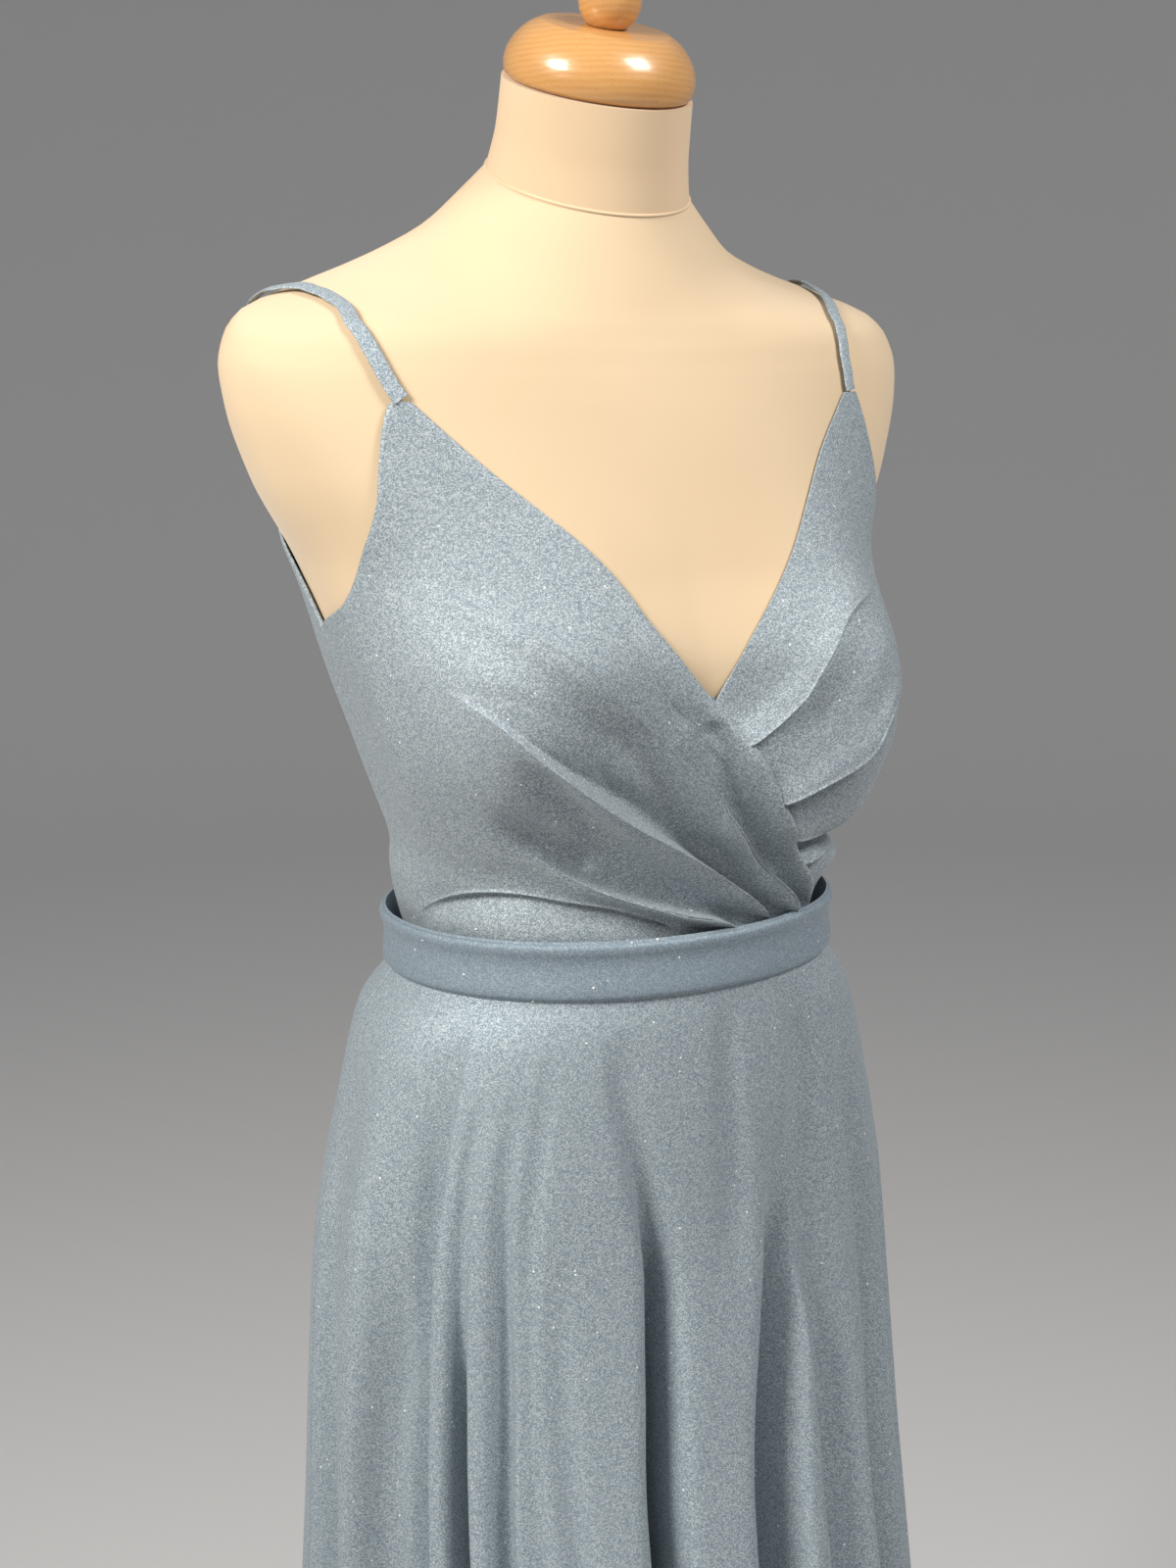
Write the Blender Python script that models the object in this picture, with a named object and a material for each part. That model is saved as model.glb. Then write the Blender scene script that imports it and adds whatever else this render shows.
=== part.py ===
"""Wrap cocktail dress with narrow straps and a belt, worn on a limbless dress form with a wooden cap and stand.

Metres, +Z up. The floor is Z = 0 and the stand's pole runs up the Z axis. The dress faces -Y, and +X is the
wearer's left. A point of the form or of the cloth is found from its angle round the body, which is 0 at the
centre front and grows towards the wearer's left, and from its height above the waist, where the bodice is
sewn to the skirt.
"""

from collections import namedtuple

import bmesh
import bpy
import numpy as np

# Driving sizes
WAIST_HEIGHT = 1.040
FORM_UNDERSIDE = -0.250
NECK_SEAM = 0.397
HEM = -0.600
CLOTH = 0.0012
SEAM_GAP = 0.0003
FLAT_RADIUS = 0.115

# Stand
POLE_RADIUS = 0.015
POLE_SIDES = 24
BASE_RADIUS = 0.190
BASE_THICKNESS = 0.028
BASE_SIDES = 40

# Panels: where their seams lie, and how finely they are laid out
BODICE_SIDE = 93
SKIRT_SIDE = 102
FRONT_COLUMNS = 24
OVER_ROWS, UNDER_ROWS = 2, 1
PLEAT_GAP = 0.03
BACK_ROWS = 12
SKIRT_ROWS = 14
SKIRT_FRONT_COLUMNS = 56
SKIRT_BACK_COLUMNS = 40
FORM_COLUMNS = 32
BELT_COLUMNS = 44
STRAP_STEPS = 30

# A ring round the body at one height above the waist. The front and the back are measured from the pole's
# axis, and the middle is how far behind the axis the ring is widest. The tilt, in degrees, lowers its front and
# raises its back, and the dip lowers its front further. It is an ellipse where square is 2, and boxier above that.
Section = namedtuple("Section", "height half_width front back middle tilt square dip", defaults=(0,))

FORM = (
    Section(-0.250, 0.138, 0.086, 0.090, 0.000, 0, 2.20),
    Section(-0.200, 0.146, 0.092, 0.096, 0.000, 0, 2.20),
    Section(-0.130, 0.146, 0.101, 0.099, -0.004, 0, 2.15),
    Section(-0.060, 0.126, 0.105, 0.091, -0.008, 0, 2.10),
    Section(0.000, 0.109, 0.105, 0.081, -0.012, 0, 2.10),
    Section(0.050, 0.111, 0.107, 0.079, -0.010, 0, 2.10),
    Section(0.100, 0.131, 0.111, 0.092, -0.006, 0, 2.10),
    Section(0.150, 0.147, 0.113, 0.112, -0.002, 0, 2.10),
    Section(0.200, 0.162, 0.100, 0.116, 0.002, 0, 2.10),
    Section(0.250, 0.189, 0.0865, 0.109, 0.006, 0, 2.05, 1.5),
    Section(0.286, 0.201, 0.0775, 0.104, 0.008, 0, 2.00, 4.0),
    Section(0.304, 0.203, 0.0735, 0.102, 0.010, 0, 2.00, 7.0),
    Section(0.320, 0.199, 0.0700, 0.098, 0.012, 1, 2.00, 9.0),
    Section(0.332, 0.188, 0.0675, 0.095, 0.014, 4, 2.00, 8.5),
    Section(0.342, 0.159, 0.0655, 0.089, 0.015, 9, 2.00, 5.5),
    Section(0.353, 0.122, 0.0633, 0.080, 0.014, 15, 2.00, 2.5),
    Section(0.367, 0.090, 0.0600, 0.068, 0.011, 19, 2.00, 0.5),
    Section(0.384, 0.069, 0.0555, 0.057, 0.004, 21, 2.00),
    Section(0.397, 0.0546, 0.0526, 0.0486, -0.002, 22, 2.00),
)

# The form's bust, one soft swelling on each side
BUST_HEIGHT = 0.128
BUST_ACROSS = 0.092
BUST_WIDTH = 0.054
BUST_ABOVE = 0.070
BUST_BELOW = 0.053
BUST_SWELL = 0.037
BUST_OUTWARD, BUST_FORWARD = 0.50, 0.87

# A tilted ring of the neck, by its centre's place behind the axis and above the waist
NeckRing = namedtuple("NeckRing", "behind height radius tilt")
NECK = (
    NeckRing(-0.0020, 0.3973, 0.0544, 22.0),
    NeckRing(-0.0075, 0.4190, 0.0512, 20.5),
    NeckRing(-0.0130, 0.4440, 0.0503, 19.0),
)
CAP_SIDES = 28

# Turned shapes: radius and height, from the underside to the top
Turned = namedtuple("Turned", "radius height")
CAP = (
    Turned(0.0478, 0.0000),
    Turned(0.0499, 0.0030),
    Turned(0.0503, 0.0085),
    Turned(0.0480, 0.0165),
    Turned(0.0424, 0.0237),
    Turned(0.0358, 0.0286),
    Turned(0.0312, 0.0303),
)
KNOB = (
    Turned(0.0105, 0.0000),
    Turned(0.0145, 0.0050),
    Turned(0.0164, 0.0130),
    Turned(0.0150, 0.0208),
    Turned(0.0104, 0.0264),
    Turned(0.0042, 0.0290),
)
BASE = (
    Turned(BASE_RADIUS - 0.003, 0.0000),
    Turned(BASE_RADIUS, 0.0030),
    Turned(BASE_RADIUS, 0.0170),
    Turned(BASE_RADIUS - 0.004, 0.0220),
    Turned(BASE_RADIUS - 0.014, 0.0250),
    Turned(0.0300, BASE_THICKNESS),
)

# How far the bodice stands off the form. It bridges from the bust down to the belt.
Ease = namedtuple("Ease", "height front side back")
EASE = (
    Ease(0.000, 0.0075, 0.0045, 0.0030),
    Ease(0.016, 0.0078, 0.0090, 0.0034),
    Ease(0.030, 0.0085, 0.0115, 0.0036),
    Ease(0.040, 0.0080, 0.0120, 0.0036),
    Ease(0.055, 0.0095, 0.0100, 0.0034),
    Ease(0.070, 0.0107, 0.0085, 0.0032),
    Ease(0.100, 0.0070, 0.0045, 0.0030),
    Ease(0.130, 0.0028, 0.0036, 0.0036),
    Ease(0.180, 0.0024, 0.0036, 0.0036),
    Ease(0.290, 0.0022, 0.0024, 0.0028),
)

# On the wearer's left the gathered cloth stands off further, below the bust and again just above the belt
Billow = namedtuple("Billow", "out angle turn height above below")
BILLOWS = (
    Billow(0.0085, 60, 28, 0.084, 0.030, 0.018),
    Billow(-0.0065, 58, 28, 0.057, 0.008, 0.008),
    Billow(0.0085, 60, 28, 0.038, 0.009, 0.013),
    Billow(0.0028, -52, 24, 0.014, 0.012, 0.012),
)

# A front panel is laid out by lines that run across it, in order from the waist to the strap. Its rows follow
# them, and the panel's side edges run through their ends. A path holds points as degrees round the body and
# height. A line that is a pleat raises the cloth by lift just below it, or just above it where raised is 1,
# and the cloth slopes back over its reach. The pleat is whole up to the share full of its line and gone at gone.
Line = namedtuple("Line", "lift reach raised full gone path")
PLAIN = (0, 0.010, 0, 0, 1)
OVER_LINES = (
    Line(*PLAIN, ((-20, 0), (-45, 0), (-70, 0), (-93, 0))),
    Line(0.0055, 0.040, 1, 0.66, 0.94, ((-4, 0), (-16, 0.021), (-30, 0.034), (-50, 0.040), (-70, 0.037), (-93, 0.025))),
    Line(
        *(0.0060, 0.020, -1, 0.36, 0.66),
        ((12, 0), (6, 0.016), (-9, 0.028), (-30, 0.047), (-43, 0.066), (-60, 0.090), (-93, 0.104)),
    ),
    Line(
        *(0.0060, 0.020, -1, 0.40, 0.68),
        ((24, 0), (17, 0.018), (-6, 0.058), (-20, 0.084), (-34, 0.114), (-46, 0.138), (-66, 0.156), (-93, 0.158)),
    ),
    Line(*PLAIN, ((27, 0), (20, 0.020), (2, 0.062), (-20, 0.108), (-45, 0.150), (-70, 0.168), (-93, 0.172))),
    Line(*PLAIN, ((30, 0), (23, 0.021), (5, 0.067), (-14, 0.112), (-30, 0.145), (-52, 0.174), (-77, 0.188))),
    Line(
        *(0.0055, 0.020, -1, 0.42, 0.78),
        ((33, 0), (27, 0.021), (12, 0.051), (-4, 0.096), (-17, 0.131), (-29, 0.163), (-46, 0.190), (-65, 0.212)),
    ),
    Line(*PLAIN, ((37, 0), (32, 0.022), (18, 0.054), (3, 0.094), (-14, 0.146), (-31, 0.196), (-54, 0.239))),
    Line(
        *PLAIN,
        ((40, 0), (35, 0.022), (23, 0.050), (8, 0.090), (-8, 0.140), (-23, 0.206), (-37.4, 0.252), (-44.2, 0.2912)),
    ),
    Line(
        *PLAIN,
        (
            *((45, 0), (39.5, 0.024), (32.5, 0.042), (24, 0.066), (16.5, 0.084), (10.5, 0.104), (1.5, 0.132)),
            *((-4.5, 0.154), (-9.5, 0.174), (-13.5, 0.194), (-18, 0.212), (-25, 0.2353), (-31.4, 0.2565), (-41.0, 0.2912)),
        ),
    ),
)
UNDER_LINES = (
    Line(*PLAIN, ((-45, 0), (0, 0), (45, 0), (93, 0))),
    Line(
        *(0.0035, 0.012, -1, 0.55, 0.75),
        ((-38, 0.024), (-10, 0.036), (15, 0.041), (30, 0.042), (48, 0.045), (70, 0.044), (93, 0.040)),
    ),
    Line(
        *(0.0050, 0.014, -1, 0.55, 0.78),
        ((-27, 0.058), (0, 0.060), (22, 0.059), (39, 0.062), (55, 0.077), (72, 0.090), (93, 0.094)),
    ),
    Line(
        *(0.0050, 0.016, -1, 0.42, 0.62),
        ((-15, 0.088), (0, 0.084), (15, 0.083), (26, 0.095), (33, 0.106), (38, 0.124), (55, 0.140), (93, 0.142)),
    ),
    Line(*PLAIN, ((-8, 0.108), (3, 0.099), (14, 0.102), (24, 0.118), (33, 0.142), (60, 0.166), (93, 0.172))),
    Line(
        *(0.0045, 0.016, -1, 0.30, 0.60),
        ((-2, 0.126), (6, 0.112), (11, 0.119), (17, 0.134), (21, 0.152), (27, 0.170), (45, 0.184), (77, 0.188)),
    ),
    Line(*PLAIN, ((1.5, 0.138), (8, 0.146), (16, 0.168), (30, 0.192), (48, 0.206), (65, 0.212))),
    Line(*PLAIN, ((8, 0.164), (20, 0.192), (38, 0.218), (53.8, 0.239))),
    Line(*PLAIN, ((21, 0.210), (30, 0.233), (39.8, 0.2478), (49.3, 0.2538))),
    Line(*PLAIN, ((30.8, 0.2608), (35.8, 0.2693), (40.8, 0.2734), (44.8, 0.2742))),
    Line(*PLAIN, ((38.2, 0.2912), (39.9, 0.2912), (41.8, 0.2912))),
)

# The top edge of the back, by degrees from the centre front, on both sides alike
BackTop = namedtuple("BackTop", "angle height")
BACK_TOP = (
    BackTop(93, 0.172),
    BackTop(97, 0.189),
    BackTop(103, 0.205),
    BackTop(112, 0.219),
    BackTop(122, 0.231),
    BackTop(130, 0.241),
    BackTop(135, 0.248),
    BackTop(138, 0.248),
    BackTop(144, 0.236),
    BackTop(152, 0.214),
    BackTop(162, 0.187),
    BackTop(171, 0.164),
    BackTop(180, 0.152),
)

# The wrap: how far the upper front is raised where it lies on the lower one, and the roll of its free edge
LAP = 0.0032
LAP_REACH = 0.012
EDGE_ROLL = 0.0042
EDGE_ROLL_WIDTH = 0.013
ROLL_TOP = 0.150
ROLL_RUN = 0.040
UNDERLAP_REACH = 0.010
TUCK_LOW, TUCK_HIGH = 0.006, 0.032

# The skirt's rings before its folds are pushed in
SKIRT = (
    Section(-0.600, 0.202, 0.199, 0.190, -0.006, 0, 2.00),
    Section(-0.400, 0.185, 0.168, 0.158, -0.008, 0, 2.05),
    Section(-0.337, 0.181, 0.153, 0.143, -0.008, 0, 2.10),
    Section(-0.244, 0.177, 0.135, 0.126, -0.008, 0, 2.10),
    Section(-0.154, 0.169, 0.124, 0.118, -0.009, 0, 2.15),
    Section(-0.124, 0.163, 0.123, 0.116, -0.010, 0, 2.15),
    Section(-0.083, 0.154, 0.123, 0.112, -0.012, 0, 2.10),
    Section(-0.040, 0.141, 0.1225, 0.111, -0.013, 0, 2.10),
    Section(-0.014, 0.1240, 0.1209, 0.0930, -0.014, 0, 2.05),
    Section(0.000, 0.1175, 0.1155, 0.0870, -0.013, 0, 2.05),
)

# A fold of the skirt is a groove that runs down it and deepens towards the hem. Angles and width are in
# degrees. It starts at the height start, and depth is how far it is pushed in at the hem.
Fold = namedtuple("Fold", "angle hem_angle start depth width")
FOLDS = (
    Fold(-16, -16, -0.060, 0.056, 6.0),
    Fold(16, 6, -0.090, 0.052, 6.0),
    Fold(-51, -55, -0.150, 0.044, 4.5),
    Fold(-63, -69, -0.050, 0.028, 5.5),
    Fold(-41, -40, -0.130, 0.022, 4.5),
    Fold(22, 14, -0.130, 0.022, 4.5),
    Fold(38, 36, -0.120, 0.046, 6.0),
    Fold(75, 73, -0.120, 0.046, 6.5),
    Fold(97, 95, -0.130, 0.030, 5.5),
    Fold(124, 123, -0.090, 0.050, 7.0),
    Fold(148, 146, -0.120, 0.040, 6.0),
    Fold(171, 169, -0.080, 0.054, 7.0),
    Fold(-165, -167, -0.120, 0.036, 6.0),
    Fold(-143, -144, -0.090, 0.050, 7.0),
    Fold(-119, -121, -0.110, 0.042, 6.5),
    Fold(-94, -94, -0.060, 0.036, 6.0),
    Fold(-78, -80, -0.140, 0.030, 5.5),
)
FOLD_GROWTH = 0.9

# The belt: its inner ring, and its closed outline by height and distance outside that ring
BELT_RING = Section(0.000, 0.1252, 0.1215, 0.0936, -0.014, 0, 2.05)
BeltPoint = namedtuple("BeltPoint", "height out")
BELT = (
    BeltPoint(-0.0136, 0.0000),
    BeltPoint(-0.0140, 0.0014),
    BeltPoint(-0.0120, 0.0022),
    BeltPoint(-0.0020, 0.0022),
    BeltPoint(0.0060, 0.0024),
    BeltPoint(0.0115, 0.0034),
    BeltPoint(0.0145, 0.0026),
    BeltPoint(0.0150, 0.0008),
    BeltPoint(0.0140, 0.0000),
)

# The middle line of each strap over the shoulder, from the front point to the back
StrapPoint = namedtuple("StrapPoint", "angle height")
STRAP_WIDTH = 0.008
STRAP_WALL = 0.0014
STRAP_CLEAR = 0.0020
RIGHT_STRAP = (
    StrapPoint(-42.6, 0.2922),
    StrapPoint(-43.4, 0.2972),
    StrapPoint(-44.4, 0.3043),
    StrapPoint(-45.6, 0.3112),
    StrapPoint(-47.0, 0.3178),
    StrapPoint(-49.0, 0.3242),
    StrapPoint(-52.0, 0.3302),
    StrapPoint(-56.5, 0.3350),
    StrapPoint(-63.0, 0.3390),
    StrapPoint(-70.5, 0.3413),
    StrapPoint(-78.0, 0.3424),
    StrapPoint(-85.0, 0.3424),
    StrapPoint(-92.0, 0.3410),
    StrapPoint(-99.0, 0.3390),
    StrapPoint(-108.0, 0.3370),
    StrapPoint(-117.0, 0.3310),
    StrapPoint(-126.0, 0.3160),
    StrapPoint(-132.0, 0.2930),
    StrapPoint(-135.5, 0.2680),
    StrapPoint(-136.5, 0.2545),
    StrapPoint(-136.5, 0.2490),
)
LEFT_STRAP = (
    StrapPoint(39.9, 0.2922),
    StrapPoint(39.6, 0.2960),
    StrapPoint(39.5, 0.3015),
    StrapPoint(39.5, 0.3075),
    StrapPoint(39.8, 0.3135),
    StrapPoint(40.5, 0.3193),
    StrapPoint(41.6, 0.3247),
    StrapPoint(43.4, 0.3299),
    StrapPoint(46.5, 0.3345),
    StrapPoint(52.0, 0.3384),
    StrapPoint(59.5, 0.3411),
    StrapPoint(68.0, 0.3430),
    StrapPoint(77.0, 0.3441),
    StrapPoint(86.0, 0.3447),
    StrapPoint(95.0, 0.3440),
    StrapPoint(106.0, 0.3405),
    StrapPoint(117.0, 0.3320),
    StrapPoint(126.0, 0.3170),
    StrapPoint(132.0, 0.2930),
    StrapPoint(135.5, 0.2680),
    StrapPoint(136.5, 0.2545),
    StrapPoint(136.5, 0.2490),
)

# Looks: base colour, roughness and metallic value
Look = namedtuple("Look", "colour roughness metallic")
LOOKS = {
    "dusty_blue_knit": Look((0.36, 0.41, 0.435), 0.55, 0.0),
    "cream_jersey": Look((0.86, 0.73, 0.50), 0.85, 0.0),
    "varnished_beech": Look((0.58, 0.32, 0.12), 0.30, 0.0),
}


def clear_scene():
    """Removes every object that the scene starts with."""
    for item in list(bpy.data.objects):
        bpy.data.objects.remove(item, do_unlink=True)


def material(name):
    """The named finish, made once."""
    made = bpy.data.materials.get(name)
    if made is None:
        made = bpy.data.materials.new(name)
        made.use_nodes = True
        shader = made.node_tree.nodes["Principled BSDF"]
        shader.inputs["Base Color"].default_value = (*LOOKS[name].colour, 1.0)
        shader.inputs["Roughness"].default_value = LOOKS[name].roughness
        shader.inputs["Metallic"].default_value = LOOKS[name].metallic
        made.diffuse_color = (*LOOKS[name].colour, 1.0)
    return made


def column(table, name):
    return np.array([getattr(row, name) for row in table], float)


def monotone(keys, values, at):
    """Reads values that belong to rising keys between them, along curves that never overshoot."""
    shape = (-1,) + (1,) * (values.ndim - 1)
    steps = np.diff(keys).reshape(shape)
    slopes = np.diff(values, axis=0) / steps
    before, after = slopes[:-1], slopes[1:]
    weight_1 = 2 * steps[1:] + steps[:-1]
    weight_2 = steps[1:] + 2 * steps[:-1]
    same_way = before * after > 0
    mean = (weight_1 + weight_2) / (
        weight_1 / np.where(same_way, before, 1) + weight_2 / np.where(same_way, after, 1)
    )
    tangents = np.concatenate([slopes[:1], np.where(same_way, mean, 0), slopes[-1:]])
    return between(keys, values, tangents, at)


def between(keys, values, tangents, at):
    """The cubic curve through values at rising keys, with these tangents."""
    at = np.clip(np.asarray(at, float), keys[0], keys[-1])
    index = np.clip(np.searchsorted(keys, at, side="right") - 1, 0, len(keys) - 2)
    step = (keys[index + 1] - keys[index]).reshape(at.shape + (1,) * (values.ndim - 1))
    share = (at - keys[index]).reshape(step.shape) / step
    rest = 1 - share
    level = values[index] * (1 + 2 * share) * rest**2 + values[index + 1] * share**2 * (3 - 2 * share)
    return level + step * share * rest * (tangents[index] * rest - tangents[index + 1] * share)


def smooth(table, key, name, at):
    """Reads a table's column between its rows."""
    return monotone(column(table, key), column(table, name), at)


def ease_step(share):
    """Rises smoothly from 0 at share 0 to 1 at share 1."""
    share = np.clip(share, 0, 1)
    return share * share * (3 - 2 * share)


def ring_point(table, angle, height):
    """The point at an angle, in radians, on a table's ring at a height."""
    angle, height = np.broadcast_arrays(np.asarray(angle, float), np.asarray(height, float))
    half_width, front, back, middle, tilt, square, dip = (
        smooth(table, "height", name, height) for name in Section._fields[1:]
    )
    aside, ahead = np.sin(angle), np.cos(angle)
    depth = np.where(ahead > 0, front + middle, back - middle)
    x = half_width * np.sign(aside) * np.abs(aside) ** (2 / square)
    y = middle - depth * np.sign(ahead) * np.abs(ahead) ** (2 / square)
    lowered = np.radians(tilt + np.where(ahead > 0, dip, 0))
    z = WAIST_HEIGHT + height + (y - middle) * np.tan(lowered)
    return np.stack([x, y, z], axis=-1)


def form_point(angle, height):
    """A point on the form: its ring, swollen forwards at the bust."""
    points = ring_point(FORM, angle, height)
    above = points[..., 2] - WAIST_HEIGHT - BUST_HEIGHT
    run = np.where(above > 0, BUST_ABOVE, BUST_BELOW)
    across = (np.abs(points[..., 0]) - BUST_ACROSS) / BUST_WIDTH
    in_front = np.clip(4 * np.cos(angle), 0, 1)
    swell = BUST_SWELL * in_front * np.exp(-(across**2) - (above / run) ** 2)
    points[..., 0] += BUST_OUTWARD * swell * np.sign(points[..., 0])
    points[..., 1] -= BUST_FORWARD * swell
    return points


def skirt_point(angle, height):
    """A point on the skirt's outer face: its ring, with every fold pushed in."""
    points = ring_point(SKIRT, angle, height)
    pushed = np.zeros(points.shape[:-1])
    for fold in FOLDS:
        fallen = np.clip((fold.start - height) / (fold.start - HEM), 0, 1)
        heading = np.radians(fold.angle + (fold.hem_angle - fold.angle) * fallen)
        away = (angle - heading + np.pi) % (2 * np.pi) - np.pi
        pushed = pushed + fold.depth * fallen**FOLD_GROWTH * np.exp(-((away / np.radians(fold.width)) ** 2))
    radial = points[..., :2] / np.linalg.norm(points[..., :2], axis=-1, keepdims=True)
    points[..., :2] -= radial * pushed[..., None]
    return points


def outward(along, up):
    """The unit direction square to both ways along a surface, outwards."""
    normal = np.cross(along, up)
    return normal / np.linalg.norm(normal, axis=-1, keepdims=True)


def facing(surface, angle, height):
    """The outward direction of a surface at each point."""
    step = 0.002
    along = surface(angle + step, height) - surface(angle - step, height)
    up = surface(angle, height + step) - surface(angle, height - step)
    return outward(along, up)


def lay(surface, angle, height, lift):
    """Points that stand off a surface by lift, square to it."""
    return surface(angle, height) + facing(surface, angle, height) * np.asarray(lift)[..., None]


def ease(angle, height):
    """How far the bodice's outer face stands off the form, before laps and pleats."""
    ahead = np.cos(angle)
    front, side, back = (smooth(EASE, "height", name, height) for name in Ease._fields[1:])
    even = np.where(ahead > 0, front, back) * ahead**2 + side * (1 - ahead**2)
    for billow in BILLOWS:
        turned = (np.degrees(angle) - billow.angle) / billow.turn
        risen = height - billow.height
        risen = risen / np.where(risen > 0, billow.above, billow.below)
        even = even + billow.out * np.exp(-(turned**2) - risen**2)
    return even


def edge_angle(edge, height):
    """The angle, in radians, of a slanting edge at a height, from points as degrees and height."""
    points = np.array(edge, float)
    return np.radians(monotone(points[:, 1], points[:, 0], height))


def along_path(path, share):
    """Points at shares of a path's length, as distance round the body at FLAT_RADIUS and height."""
    points = np.array(path, float) * (np.radians(FLAT_RADIUS), 1)
    lengths = np.linalg.norm(np.diff(points, axis=0), axis=1)
    keys = np.concatenate([[0], np.cumsum(lengths)])
    tangents = np.gradient(points, keys, axis=0)
    return between(keys, points, tangents, share * keys[-1])


def pleat_rows(lines, rows_between):
    """The rows of a panel as places between its lines, with a row close to each side of every pleat."""
    rows = []
    for number, line in enumerate(lines):
        rows += [number - PLEAT_GAP, number + PLEAT_GAP] if line.raised else [number]
        if number + 1 < len(lines):
            rows += [number + step / (rows_between + 1) for step in range(1, rows_between + 1)]
    return np.array(rows, float)


def front_grid(lines, rows, columns):
    """Angles, heights and pleat lift of a front panel, row by row from the waist upwards."""
    share = np.linspace(0, 1, columns)
    keys = np.arange(len(lines), dtype=float)
    paths = np.array([along_path(line.path, share) for line in lines])
    points = monotone(keys, paths, rows)
    lift = np.zeros(points.shape[:2])
    for number, line in enumerate(lines):
        if not line.raised:
            continue
        away = np.linalg.norm(points - paths[number], axis=-1)
        raised_side = (rows[:, None] - number) * line.raised > 0
        strength = 1 - ease_step((share - line.full) / (line.gone - line.full))
        lift += np.where(raised_side, line.lift * strength * np.exp(-((away / line.reach) ** 2)), 0)
    angle, height = points[..., 0] / FLAT_RADIUS, points[..., 1]
    lift *= ease_step((height - TUCK_LOW) / (TUCK_HIGH - TUCK_LOW))
    return angle, height, lift


def over_lift(angle, height, pleats):
    """The upper front: laid on the lower one where they lap, with a rolled free edge and its pleats."""
    lower_edge = edge_angle([line.path[0] for line in UNDER_LINES], height)
    lap = LAP * ease_step(1 + (angle - lower_edge) * FLAT_RADIUS / LAP_REACH)
    inside = (edge_angle(OVER_LINES[-1].path, height) - angle) * FLAT_RADIUS
    roll = EDGE_ROLL * np.exp(-((inside / EDGE_ROLL_WIDTH) ** 2)) * ease_step((ROLL_TOP - height) / ROLL_RUN)
    roll *= ease_step((height - TUCK_LOW) / (TUCK_HIGH - TUCK_LOW))
    return ease(angle, height) + lap + roll + pleats


def under_lift(angle, height, pleats):
    """The lower front: smooth where the upper one covers it, pleated where it shows."""
    free_edge = edge_angle(OVER_LINES[-1].path, height)
    shown = ease_step(1 + (angle - free_edge) * FLAT_RADIUS / UNDERLAP_REACH)
    return ease(angle, height) + shown * pleats


def add_mesh(name, points, faces, finish):
    """A closed, smooth-shaded object from points and faces."""
    mesh = bpy.data.meshes.new(name)
    mesh.from_pydata([tuple(map(float, point)) for point in points], [], faces)
    built = bmesh.new()
    built.from_mesh(mesh)
    bmesh.ops.recalc_face_normals(built, faces=built.faces)
    built.to_mesh(mesh)
    built.free()
    mesh.materials.append(material(finish))
    mesh.shade_smooth()
    mesh.set_sharp_from_angle(angle=np.radians(50))
    made = bpy.data.objects.new(name, mesh)
    bpy.context.scene.collection.objects.link(made)
    return made


def grid_faces(rows, columns, first=0, around=False):
    """The quads of a grid of points, closed round its columns where around is true."""
    faces = []
    for row in range(rows - 1):
        for left in range(columns if around else columns - 1):
            right = (left + 1) % columns
            low, high = first + row * columns, first + (row + 1) * columns
            faces.append((low + left, low + right, high + right, high + left))
    return faces


def cloth_panel(name, outer, normal):
    """A wall of cloth from the grid of its outer face, laid row by row upwards, and its outward directions."""
    inner = outer - normal * CLOTH
    rows, columns = outer.shape[:2]
    count = rows * columns
    faces = grid_faces(rows, columns)
    faces += [tuple(reversed(face)) for face in grid_faces(rows, columns, count)]
    top = (rows - 1) * columns
    rim = list(range(columns)) + [row * columns + columns - 1 for row in range(1, rows)]
    rim += [top + left for left in range(columns - 2, -1, -1)] + [row * columns for row in range(rows - 2, 0, -1)]
    for here, after in zip(rim, rim[1:] + rim[:1]):
        faces.append((here, here + count, after + count, after))
    points = np.concatenate([outer.reshape(-1, 3), inner.reshape(-1, 3)])
    return add_mesh(name, points, faces, "dusty_blue_knit")


def bodice_panel(name, outer):
    """A panel of the bodice, kept above the seam that joins it to the skirt."""
    seam = WAIST_HEIGHT + SEAM_GAP / 2
    outer[..., 2] = np.maximum(outer[..., 2], seam)
    normal = outward(np.gradient(outer, axis=1), np.gradient(outer, axis=0))
    normal[..., 2] = np.where(outer[..., 2] > seam, normal[..., 2], 0)
    return cloth_panel(name, outer, normal)


def stacked_rings(name, rings, finish):
    """A solid from rings of points, one above the other, closed at both ends by a flat face."""
    rows, sides = rings.shape[:2]
    faces = grid_faces(rows, sides, around=True)
    faces.append(tuple(range(sides)))
    faces.append(tuple(range((rows - 1) * sides, rows * sides)))
    return add_mesh(name, rings.reshape(-1, 3), faces, finish)


def tilted_rings(profile, sides, behind, height, tilt):
    """Rings of a turned profile whose axis leans forward by tilt, in degrees, from a point above the waist."""
    turn = np.arange(sides) * 2 * np.pi / sides
    radius, rise = column(profile, "radius")[:, None], column(profile, "height")[:, None]
    lean = np.radians(tilt)
    ahead = -np.cos(turn) * radius
    x = np.sin(turn) * radius
    y = behind + ahead * np.cos(lean) - rise * np.sin(lean)
    z = WAIST_HEIGHT + height + ahead * np.sin(lean) + rise * np.cos(lean)
    return np.stack([x, y, z], axis=-1)


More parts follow.
